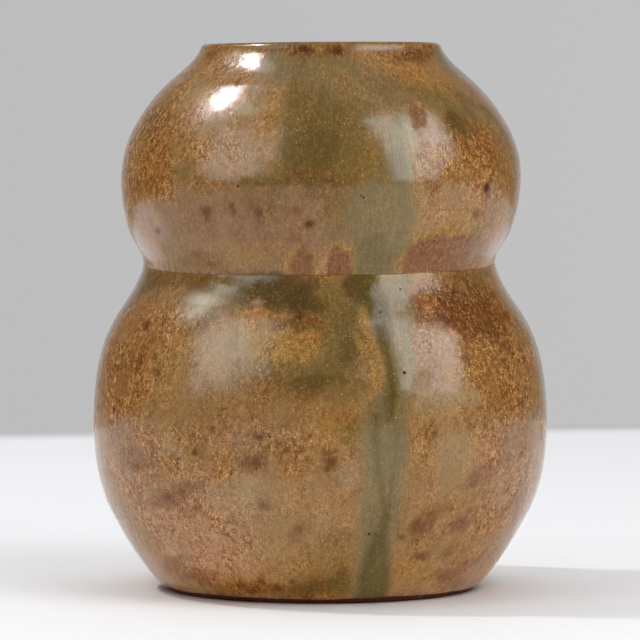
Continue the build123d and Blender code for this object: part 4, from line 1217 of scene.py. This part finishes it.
# --- luting slip between the two
a, b, c = JOINT_LOW + 0.02, JOINT_HIGH - 0.02, KEY
slip_path = Profile(dense([
    (49.02, a), (50.38, a), (50.38, a + c), (52.22, a + c), (52.22, a), (54.18, a), (54.18, b), (52.68, b), (52.68, b + c),
    (49.92, b + c), (49.92, b), (49.02, b), (49.02, a + 0.02),
], 0.1), smooth_normals=5)
slip_ring, phi_s, t_s, r_s, z_s = turned("slip_ring", slip_path, [(0, slip_path.t[-1], 0.4)], 240)
attribute(slip_ring, "toast", np.zeros(len(phi_s)))

# --- lining: a coat over the whole inside
lining_back = offset(inside, 0.35)
lining_back[0, 0] = 0.0
lining_back[:, 0] = np.maximum(lining_back[:, 0], 0.0)
lining_back = lining_back[lining_back[:, 1] < 163.45]
lining_path = Profile(lining_back, np.array([(33.84, 163.58), (33.54, 163.58)]), inside[::-1][inside[::-1][:, 1] < 163.5], smooth_normals=5)
t_back = arc_length(lining_back)[-1]
TI = lining_path.t[-1]


def thrown(phi, t, r, z, nr, nz):
    """Throwing rings on the inside, a spiral climbing with the potter's fingers."""
    on = smooth(t, t_back + 1.0, t_back + 4.0) * (1 - smooth(t, TI - 4.0, TI - 1.0))
    q = np.stack([50 * np.cos(phi), 50 * np.sin(phi), z], 1)
    rings = 0.5 + 0.5 * np.sin(2 * math.pi * ((TI - t) / 6.4 - phi / (2 * math.pi)) + 0.8 * lattice_noise(81, q / 30.0))
    d = on * (0.16 * rings + 0.05 * lattice_noise(82, q / 14.0) + 0.05)
    return d * nr, d * nz


lining_spans = [(0, t_back - 2.0, 6.0), (t_back - 2.0, t_back + 3.0, 0.5), (t_back + 3.0, TI - 3.0, 1.1), (TI - 3.0, TI, 0.8)]
glaze_inside, phi_i, t_i, r_i, z_i = turned("glaze_inside", lining_path, lining_spans, 320, True, thrown)


def lining_pattern(phi, s):
    """Colours of the lining: olive brown, darker towards the floor, broken to tan and rust in clouds."""
    q = np.stack([52 * np.cos(phi), 52 * np.sin(phi), s], 1)
    cloud = fractal(201, q / np.array([13.0, 13.0, 20.0]), 4, 0.55)
    fine = fractal(204, q / np.array([3.5, 3.5, 5.5]), 3, 0.6)
    tan, olive, dark, rust = (under_gloss(KINDS[k][0]) for k in ("tan", "olive", "olive_dark", "rust"))
    a, b = smooth(cloud, 0.0, 0.35)[:, None], smooth(-cloud, 0.02, 0.35)[:, None]
    tone = olive * (1 - a - b) + tan * a + rust * b
    # darker towards the floor of the inside
    floor_dark = (1 - smooth(s, 30.0, 60.0))[:, None] * 0.7
    tone = tone + (dark - tone) * floor_dark
    tone = tone * (1 + 0.22 * fine + 0.10 * cloud)[:, None]
    n = len(s)
    return tone, np.clip(0.45 + 0.5 * cloud, 0.1, 1), np.full(n, 0.5), np.full(n, 0.4), np.zeros(n), np.zeros(n), np.zeros(n)


s_i = np.clip(TI - t_i, 0, None)
write_pattern(glaze_inside, phi_i, s_i, *lining_pattern(phi_i, s_i))


# ------------------------------------------------------------------ materials
class Nodes:
    """Small helper for building node trees."""

    def __init__(self, name):
        self.mat = bpy.data.materials.new(name)
        self.mat.use_nodes = True
        self.tree = self.mat.node_tree
        self.bsdf = self.tree.nodes["Principled BSDF"]

    def new(self, kind, **props):
        n = self.tree.nodes.new(kind)
        for k, v in props.items():
            setattr(n, k, v)
        return n

    def put(self, socket, value):
        if isinstance(value, bpy.types.NodeSocket):
            self.tree.links.new(value, socket)
        elif value is not None:
            socket.default_value = value

    def attr(self, name, out="Fac"):
        return self.new("ShaderNodeAttribute", attribute_name=name).outputs[out]

    def math(self, op, a, b=None, c=None, clamp=False):
        n = self.new("ShaderNodeMath", operation=op, use_clamp=clamp)
        for i, v in enumerate((a, b, c)):
            self.put(n.inputs[i], v)
        return n.outputs[0]

    def vmath(self, op, a, b=None):
        n = self.new("ShaderNodeVectorMath", operation=op)
        self.put(n.inputs[0], a)
        if b is not None:
            self.put(n.inputs[1], b)
        return n.outputs[0]

    def mix(self, fac, a, b, blend="MIX"):
        n = self.new("ShaderNodeMix", data_type="RGBA", blend_type=blend, clamp_factor=True)
        self.put(n.inputs[0], fac)
        self.put(n.inputs[6], a if isinstance(a, bpy.types.NodeSocket) else (*a, 1.0))
        self.put(n.inputs[7], b if isinstance(b, bpy.types.NodeSocket) else (*b, 1.0))
        return n.outputs[2]

    def span(self, value, lo, hi, to_lo=0.0, to_hi=1.0, kind="SMOOTHSTEP"):
        n = self.new("ShaderNodeMapRange", interpolation_type=kind, clamp=True)
        for k, v in zip(("Value", "From Min", "From Max", "To Min", "To Max"), (value, lo, hi, to_lo, to_hi)):
            self.put(n.inputs[k], v)
        return n.outputs[0]

    def noise(self, vec, scale, detail=2.0, rough=0.55, distort=0.0):
        n = self.new("ShaderNodeTexNoise", noise_dimensions="3D")
        self.put(n.inputs["Vector"], vec)
        self.put(n.inputs["Scale"], scale)
        self.put(n.inputs["Detail"], detail)
        self.put(n.inputs["Roughness"], rough)
        self.put(n.inputs["Distortion"], distort)
        return n.outputs["Fac"]

    def cells(self, vec, scale=1.0, randomness=1.0):
        n = self.new("ShaderNodeTexVoronoi", voronoi_dimensions="3D", feature="F1")
        self.put(n.inputs["Vector"], vec)
        self.put(n.inputs["Scale"], scale)
        self.put(n.inputs["Randomness"], randomness)
        rgb = self.new("ShaderNodeSeparateColor")
        self.put(rgb.inputs[0], n.outputs["Color"])
        return n.outputs["Distance"], rgb.outputs

    def bump(self, height, distance, strength=1.0, normal=None):
        n = self.new("ShaderNodeBump")
        self.put(n.inputs["Strength"], strength)
        self.put(n.inputs["Distance"], distance)
        self.put(n.inputs["Height"], height)
        if normal is not None:
            self.put(n.inputs["Normal"], normal)
        return n.outputs[0]


def glaze_material():
    m = Nodes("rutile_glaze")
    flow = m.attr("flow", "Vector")
    tone = m.attr("tone", "Color")
    grain, fleck, streak = m.attr("grain"), m.attr("fleck"), m.attr("streak")
    iron, pit, dull = m.attr("iron"), m.attr("pit"), m.attr("dull")

    # crystals and the rust gaps between them, a little drawn out down the flow
    v_fine = m.vmath("MULTIPLY", flow, (1 / 0.52, 1 / 0.52, 1 / 0.66))
    fine = m.noise(v_fine, 1.0, 3.0, 0.68, 0.3)
    v_dust = m.vmath("MULTIPLY", flow, (1 / 0.27, 1 / 0.27, 1 / 0.34))
    dust = m.noise(v_dust, 1.0, 1.0, 0.5)
    v_mid = m.vmath("MULTIPLY", flow, (1 / 1.35, 1 / 1.35, 1 / 1.8))
    mid = m.noise(v_mid, 1.0, 3.0, 0.62)
    both = m.math("ADD", m.math("MULTIPLY", fine, 0.60), m.math("MULTIPLY", mid, 0.40))
    crystal = m.span(both, 0.508, 0.580)
    gap = m.span(both, 0.485, 0.410)
    bright = m.mix(0.62, tuple(under_gloss(look(212, 170, 112))), m.mix(1.0, tone, (1.62, 1.62, 1.66), "MULTIPLY"))
    dark = m.mix(0.60, tuple(under_gloss(look(90, 51, 21), 0.76, 0.004)), m.mix(1.0, tone, (0.44, 0.35, 0.24), "MULTIPLY"))
    colour = m.mix(m.math("MULTIPLY", crystal, m.math("MULTIPLY_ADD", grain, 0.92, 0.09), clamp=True), tone, bright)
    colour = m.mix(m.math("MULTIPLY", gap, m.math("MULTIPLY_ADD", grain, 0.88, 0.13), clamp=True), colour, dark)
    # and a dust of crystals too small to tell apart
    dusty = m.math("MULTIPLY_ADD", grain, 0.55, 0.45, clamp=True)
    colour = m.mix(m.math("MULTIPLY", m.span(dust, 0.52, 0.66), dusty), colour, m.mix(1.0, colour, (1.30, 1.29, 1.26), "MULTIPLY"))
    colour = m.mix(m.math("MULTIPLY", m.span(dust, 0.48, 0.34), dusty), colour, m.mix(1.0, colour, (0.74, 0.70, 0.66), "MULTIPLY"))

    # rust blots between the crystals
    v_blot = m.vmath("MULTIPLY", flow, (1 / 2.3, 1 / 2.3, 1 / 2.9))
    blot = m.noise(v_blot, 1.0, 4.0, 0.66, 0.4)
    blotted = m.math("MULTIPLY", m.span(blot, 0.555, 0.650), m.span(grain, 0.10, 0.70))
    colour = m.mix(m.math("MULTIPLY", blotted, 0.76), colour, m.mix(0.45, m.mix(1.0, tone, (0.52, 0.42, 0.30), "MULTIPLY"), tuple(under_gloss(look(104, 60, 26), 0.76, 0.008))))

    # fine streaks down the green and olive parts
    v_str = m.vmath("MULTIPLY", flow, (1 / 0.62, 1 / 0.62, 1 / 9.0))
    lines = m.noise(v_str, 1.0, 3.0, 0.65, 0.15)
    patchy = m.span(m.noise(flow, 0.16, 2.0, 0.6), 0.40, 0.62)
    line_amount = m.math("MULTIPLY", streak, m.math("MULTIPLY_ADD", patchy, 0.8, 0.2))
    colour = m.mix(m.math("MULTIPLY", m.span(lines, 0.50, 0.68), m.math("MULTIPLY", line_amount, 0.55)), colour, m.mix(1.0, colour, (0.58, 0.58, 0.52), "MULTIPLY"))
    colour = m.mix(m.math("MULTIPLY", m.span(lines, 0.50, 0.33), m.math("MULTIPLY", line_amount, 0.50)), colour, m.mix(1.0, colour, (1.38, 1.36, 1.34), "MULTIPLY"))

    # yellow specks: many faint small ones, fewer and brighter larger ones
    for cell, low, gain, share, strength in ((0.95, 0.11, 0.15, 0.62, 0.60), (2.30, 0.05, 0.09, 0.40, 0.62)):
        v_dot = m.vmath("MULTIPLY", flow, (1 / cell, 1 / cell, 1 / (cell * 1.25)))
        dist, pick = m.cells(v_dot)
        size = m.math("MULTIPLY_ADD", pick[0], gain, low)
        dot = m.span(dist, m.math("MULTIPLY", size, 1.45), m.math("MULTIPLY", size, 0.7))
        chance = m.math("SUBTRACT", 1.03, m.math("MULTIPLY", fleck, share))
        dot = m.math("MULTIPLY", dot, m.span(pick[1], chance, m.math("ADD", chance, 0.25), kind="LINEAR"))
        yellow = m.mix(0.5, tuple(under_gloss(look(206, 174, 112))), m.mix(1.0, tone, (1.9, 1.9, 1.9), "MULTIPLY"))
        colour = m.mix(m.math("MULTIPLY", dot, strength), colour, yellow)

    # tiny dark pricks
    v_prick = m.vmath("MULTIPLY", flow, (1 / 4.4, 1 / 4.4, 1 / 4.4))
    dist2, pick2 = m.cells(v_prick)
    prick = m.math("MULTIPLY", m.span(dist2, 0.062, 0.026), m.span(pick2[0], 0.35, 0.55))
    colour = m.mix(m.math("MULTIPLY", prick, 0.70), colour, tuple(look(56, 36, 20)))

    # iron spots, grained like the rest, and pinholes; the pinholes' near black is painted shade in the holes
    ragged = m.math("MULTIPLY", iron, m.math("MULTIPLY_ADD", both, 2.6, -0.25), clamp=True)
    colour = m.mix(ragged, colour, (0.085, 0.020, 0.004))
    colour = m.mix(pit, colour, (0.010, 0.006, 0.004))

    m.put(m.bsdf.inputs["Base Color"], colour)
    matt = m.math("MULTIPLY", grain, m.span(both, 0.40, 0.60))
    rough = m.math("ADD", m.math("MULTIPLY_ADD", matt, 0.14, 0.36), m.math("MULTIPLY", mid, 0.10))
    m.put(m.bsdf.inputs["Roughness"], rough)
    m.bsdf.inputs["IOR"].default_value = 1.50
    m.bsdf.inputs["Specular IOR Level"].default_value = 0.05
    coat = m.math("SUBTRACT", 1.0, m.math("MULTIPLY", m.math("MULTIPLY_ADD", grain, 0.70, 0.14), m.span(both, 0.515, 0.430)), clamp=True)
    coat = m.math("MULTIPLY", coat, m.math("SUBTRACT", 1.0, pit))
    worn = m.math("MULTIPLY", dull, m.math("MULTIPLY_ADD", both, -1.6, 1.80), clamp=True)
    coat = m.math("MULTIPLY", coat, m.math("SUBTRACT", 1.0, worn))
    coat = m.math("MULTIPLY", coat, m.math("SUBTRACT", 1.0, m.math("MULTIPLY", ragged, 0.92, clamp=True)))
    m.put(m.bsdf.inputs["Coat Weight"], coat)
    m.bsdf.inputs["Coat Roughness"].default_value = 0.065
    m.bsdf.inputs["Coat IOR"].default_value = 1.41

    # orange-peel of the fired surface, and the crystals' own relief
    peel = m.noise(flow, 0.42, 2.0, 0.5)
    peel2 = m.noise(flow, 1.6, 2.0, 0.5)
    skin = m.bump(m.math("ADD", m.math("MULTIPLY", peel, 0.018), m.math("MULTIPLY", peel2, 0.004)), 0.001)
    crys = m.bump(m.math("MULTIPLY", both, m.math("MULTIPLY_ADD", grain, 0.05, 0.008)), 0.001, normal=skin)
    m.put(m.bsdf.inputs["Normal"], crys)
    # the largest crystals stand a little proud and sparkle round the highlights
    proud = m.math("MULTIPLY", m.span(both, 0.560, 0.640, kind="LINEAR"), m.math("MULTIPLY", grain, 0.012))
    coat_bump = m.bump(m.math("ADD", proud, m.math("MULTIPLY", both, m.math("MULTIPLY_ADD", grain, 0.060, 0.008))), 0.001, normal=skin)
    m.put(m.bsdf.inputs["Coat Normal"], coat_bump)
    return m.mat


def clay_material(name, body, flashed, grit=1.0):
    """Unglazed fired stoneware: warm body with grog and iron specks, darker and redder where the flame and the glaze's edge met it."""
    m = Nodes(name)
    co = m.new("ShaderNodeTexCoord").outputs["Object"]
    toast = m.attr("toast")
    broad = m.noise(co, 45.0, 4.0, 0.55)
    fine = m.noise(co, 900.0, 3.0, 0.6)
    colour = m.mix(m.span(broad, 0.35, 0.65), tuple(body * 0.86), tuple(body * 1.12))
    amount = m.math("MULTIPLY_ADD", m.math("SUBTRACT", broad, 0.5), 0.9, toast, clamp=True)
    colour = m.mix(m.math("MULTIPLY", amount, m.span(toast, 0.02, 0.3)), colour, tuple(flashed))
    colour = m.mix(m.math("MULTIPLY", m.span(fine, 0.52, 0.70), 0.35), colour, m.mix(1.0, colour, (1.35, 1.32, 1.25), "MULTIPLY"))
    colour = m.mix(m.math("MULTIPLY", m.span(fine, 0.46, 0.30), 0.40), colour, m.mix(1.0, colour, (0.60, 0.56, 0.50), "MULTIPLY"))
    dist, pick = m.cells(m.vmath("MULTIPLY", co, (620.0, 620.0, 620.0)))
    size = m.math("MULTIPLY_ADD", pick[0], 0.16, 0.10)
    grog = m.math("MULTIPLY", m.span(dist, m.math("MULTIPLY", size, 1.3), m.math("MULTIPLY", size, 0.7)), m.span(pick[1], 0.62, 0.75))
    colour = m.mix(m.math("MULTIPLY", grog, 0.55 * grit), colour, tuple(look(196, 158, 118)))
    specks = m.math("MULTIPLY", m.span(dist, m.math("MULTIPLY", size, 1.2), m.math("MULTIPLY", size, 0.6)), m.span(pick[2], 0.80, 0.9))
    colour = m.mix(m.math("MULTIPLY", specks, 0.8 * grit), colour, tuple(look(48, 32, 24)))
    m.put(m.bsdf.inputs["Base Color"], colour)
    m.put(m.bsdf.inputs["Roughness"], m.math("MULTIPLY_ADD", fine, 0.12, 0.74))
    m.bsdf.inputs["IOR"].default_value = 1.45
    m.bsdf.inputs["Specular IOR Level"].default_value = 0.35
    height = m.math("ADD", m.math("MULTIPLY", fine, 0.05), m.math("MULTIPLY", grog, 0.03))
    m.put(m.bsdf.inputs["Normal"], m.bump(height, 0.001))
    return m.mat


glaze = glaze_material()
stoneware = clay_material("stoneware", look(136, 98, 72), look(112, 50, 34))
slip_clay = clay_material("luting_slip", look(128, 88, 62), look(84, 42, 30), 0.3)
for ob, mat, node in (
    (glaze_lower, glaze, "outer_glaze"), (glaze_upper, glaze, "outer_glaze"), (glaze_inside, glaze, "liner_glaze"),
    (clay_lower, stoneware, "lower_section"), (clay_upper, stoneware, "upper_section"), (slip_ring, slip_clay, "luting_slip"),
):
    ob.data.materials.append(mat)
    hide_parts(node)
    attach(ob, "root")


# ------------------------------------------------------------------ table, background, camera
def flat_mat(name, colour, rough):
    m = bpy.data.materials.new(name)
    m.use_nodes = True
    p = m.node_tree.nodes["Principled BSDF"]
    p.inputs["Base Color"].default_value = (*colour, 1)
    p.inputs["Roughness"].default_value = rough
    p.inputs["Specular IOR Level"].default_value = 0.2
    return m


table_me = bpy.data.meshes.new("table_top")
yaw = math.radians(9.0)
back_y = 0.656
ax = Vector((math.cos(yaw), math.sin(yaw), 0))
ay = Vector((-math.sin(yaw), math.cos(yaw), 0))
origin = Vector((0, back_y, 0))
corners = [origin - ax * 3.0 - ay * 4.2, origin + ax * 3.0 - ay * 4.2, origin + ax * 3.0, origin - ax * 3.0]
table_me.from_pydata([c[:] for c in corners], [], [(0, 1, 2, 3)])
table = bpy.data.objects.new("table_top", table_me)
bpy.context.scene.collection.objects.link(table)
table_mat = flat_mat("table_white", (0.935, 0.940, 0.960), 0.6)
# painted shade: the top darkens to a mid grey over its last 56 mm before the back edge
tn = table_mat.node_tree
t_co = tn.nodes.new("ShaderNodeTexCoord")
t_dot = tn.nodes.new("ShaderNodeVectorMath")
t_dot.operation = "DOT_PRODUCT"
t_dot.inputs[1].default_value = ay[:]
tn.links.new(t_co.outputs["Object"], t_dot.inputs[0])
t_edge_shade = tn.nodes.new("ShaderNodeMapRange")
t_edge_shade.interpolation_type = "SMOOTHSTEP"
tn.links.new(t_dot.outputs["Value"], t_edge_shade.inputs["Value"])
t_edge_shade.inputs["From Min"].default_value = origin.dot(ay) - 0.056
t_edge_shade.inputs["From Max"].default_value = origin.dot(ay)
t_mix = tn.nodes.new("ShaderNodeMix")
t_mix.data_type = "RGBA"
tn.links.new(t_edge_shade.outputs[0], t_mix.inputs[0])
t_mix.inputs[6].default_value = (0.935, 0.940, 0.960, 1)
t_mix.inputs[7].default_value = (0.570, 0.571, 0.575, 1)
tn.links.new(t_mix.outputs[2], tn.nodes["Principled BSDF"].inputs["Base Color"])
table_me.materials.append(table_mat)

cam_data = bpy.data.cameras.new("camera")
cam = bpy.data.objects.new("camera", cam_data)
bpy.context.scene.collection.objects.link(cam)
cam.location = (0, -CAM_DIST * MM, CAM_H * MM)
aim = Vector((0, 0, LOOK_Z * MM)) - cam.location
cam.rotation_euler = aim.to_track_quat("-Z", "Y").to_euler()
cam_data.sensor_width = 36
cam_data.lens = 36 * FOCAL / 640
cam_data.clip_end = 50
bpy.context.scene.camera = cam


# ------------------------------------------------------------------ light
def direction(azimuth, elevation):
    """azimuth 0 is towards the camera, positive to the right."""
    az, el = math.radians(azimuth), math.radians(elevation)
    return np.array([math.sin(az) * math.cos(el), -math.cos(az) * math.cos(el), math.sin(el)])


def softbox(name, azimuth, elevation, distance, size, radiance, centre=(0.0, 0.0), roll=0.0, mirrored=True, lights=True, soft_edge=0.0):
    """A soft box that faces the pot, slid in its own plane by `centre` (right, up). mirrored: the glaze shows it; lights: it lights
    matt surfaces; soft_edge: share of its size over which it dims."""
    n = direction(azimuth, elevation)
    right = np.array([math.cos(math.radians(azimuth)), math.sin(math.radians(azimuth)), 0.0])
    up = np.cross(n, right)
    c, sn = math.cos(math.radians(roll)), math.sin(math.radians(roll))
    right, up = right * c + up * sn, up * c - right * sn
    ld = bpy.data.lights.new(name, "AREA")
    ld.shape = "RECTANGLE"
    ld.size, ld.size_y = size
    ld.energy = radiance * math.pi * size[0] * size[1]
    lo = bpy.data.objects.new(name, ld)
    bpy.context.scene.collection.objects.link(lo)
    at = np.array([0.0, 0.0, 0.1]) + n * distance + right * centre[0] + up * centre[1]
    lo.matrix_world = Matrix([[*row, w] for row, w in zip(np.stack([right, up, n], 1).tolist(), at.tolist())] + [[0, 0, 0, 1]])
    lo.visible_camera = False
    lo.visible_glossy = mirrored
    lo.visible_diffuse = lights
    if soft_edge:
        ld.use_nodes = True
        tree = ld.node_tree
        where = tree.nodes.new("ShaderNodeNewGeometry")
        xyz = tree.nodes.new("ShaderNodeSeparateXYZ")
        tree.links.new(where.outputs["Parametric"], xyz.inputs[0])
        fades = []
        for k in (0, 1):
            off = tree.nodes.new("ShaderNodeMath")
            off.operation = "SUBTRACT"
            tree.links.new(xyz.outputs[k], off.inputs[0])
            off.inputs[1].default_value = 0.5
            away = tree.nodes.new("ShaderNodeMath")
            away.operation = "ABSOLUTE"
            tree.links.new(off.outputs[0], away.inputs[0])
            fade = tree.nodes.new("ShaderNodeMapRange")
            fade.interpolation_type = "SMOOTHSTEP"
            fade.inputs["From Min"].default_value = 0.5
            fade.inputs["From Max"].default_value = 0.5 - soft_edge
            tree.links.new(away.outputs[0], fade.inputs["Value"])
            fades.append(fade.outputs[0])
        both = tree.nodes.new("ShaderNodeMath")
        both.operation = "MULTIPLY"
        tree.links.new(fades[0], both.inputs[0])
        tree.links.new(fades[1], both.inputs[1])
        tree.links.new(both.outputs[0], tree.nodes["Emission"].inputs["Strength"])
    return lo


# what the glaze mirrors
softbox("key_seen", -107, 54.0, 1.6, (0.46, 0.17), 90.0, (0.004, 0.022), -26.0, lights=False, soft_edge=0.16)
softbox("key_glow", -107, 54.0, 1.7, (1.05, 1.10), 9.0, (0.080, -0.010), -26.0, lights=False, soft_edge=0.5)
softbox("right_seen", 49.9, 44.6, 0.325, (0.29, 0.41), 4.6, (0.060, -0.112), -4.2, lights=False, soft_edge=0.16)
softbox("left_seen", -33.6, 29.6, 0.30, (0.32, 0.35), 2.7, (-0.08, -0.012), 5.9, lights=False, soft_edge=0.24)
# what lights it
softbox("key_light", -101, 54.5, 1.6, (0.09, 0.09), 300.0, mirrored=False)
softbox("left_light", -47, 50, 1.6, (0.5, 0.5), 1.9, mirrored=False)
softbox("right_light", 50, 45, 1.5, (0.9, 0.9), 3.2, mirrored=False)
softbox("top_light", 180, 78, 2.4, (2.6, 2.6), 1.12, mirrored=False)

world = bpy.data.worlds.new("studio")
bpy.context.scene.world = world
world.use_nodes = True
nt = world.node_tree
bg = nt.nodes["Background"]
out = nt.nodes["World Output"]
heading = nt.nodes.new("ShaderNodeTexCoord")
axes = nt.nodes.new("ShaderNodeSeparateXYZ")
nt.links.new(heading.outputs["Generated"], axes.inputs[0])


def ramp(source, lo, hi, from_colour, to_colour):
    fac = nt.nodes.new("ShaderNodeMapRange")
    fac.interpolation_type = "SMOOTHSTEP"
    nt.links.new(source, fac.inputs["Value"])
    fac.inputs["From Min"].default_value, fac.inputs["From Max"].default_value = lo, hi
    m = nt.nodes.new("ShaderNodeMix")
    m.data_type = "RGBA"
    nt.links.new(fac.outputs[0], m.inputs[0])
    m.inputs[6].default_value = (*from_colour, 1)
    m.inputs[7].default_value = (*to_colour, 1)
    return m.outputs[2]


# the backdrop as the camera sees it, slightly brighter to the right
nt.links.new(ramp(axes.outputs[0], -0.07, 0.07, (0.508, 0.508, 0.508), (0.532, 0.532, 0.532)), bg.inputs["Color"])
bg.inputs["Strength"].default_value = 1.0
# the room: pale backdrop behind the pot, darker on the camera's side
room = nt.nodes.new("ShaderNodeBackground")
nt.links.new(ramp(axes.outputs[1], 0.78, 0.995, (0.10, 0.10, 0.10), (0.50, 0.50, 0.51)), room.inputs["Color"])
# soft light from all round for the matt surfaces
ambient = nt.nodes.new("ShaderNodeBackground")
ambient.inputs["Color"].default_value = (0.31, 0.31, 0.315, 1)
path = nt.nodes.new("ShaderNodeLightPath")
mix1, mix2 = nt.nodes.new("ShaderNodeMixShader"), nt.nodes.new("ShaderNodeMixShader")
nt.links.new(path.outputs["Is Glossy Ray"], mix1.inputs[0])
nt.links.new(ambient.outputs[0], mix1.inputs[1])
nt.links.new(room.outputs[0], mix1.inputs[2])
nt.links.new(path.outputs["Is Camera Ray"], mix2.inputs[0])
nt.links.new(mix1.outputs[0], mix2.inputs[1])
nt.links.new(bg.outputs[0], mix2.inputs[2])
nt.links.new(mix2.outputs[0], out.inputs["Surface"])

bpy.context.scene.view_settings.view_transform = "Standard"
bpy.context.scene.view_settings.look = "None"
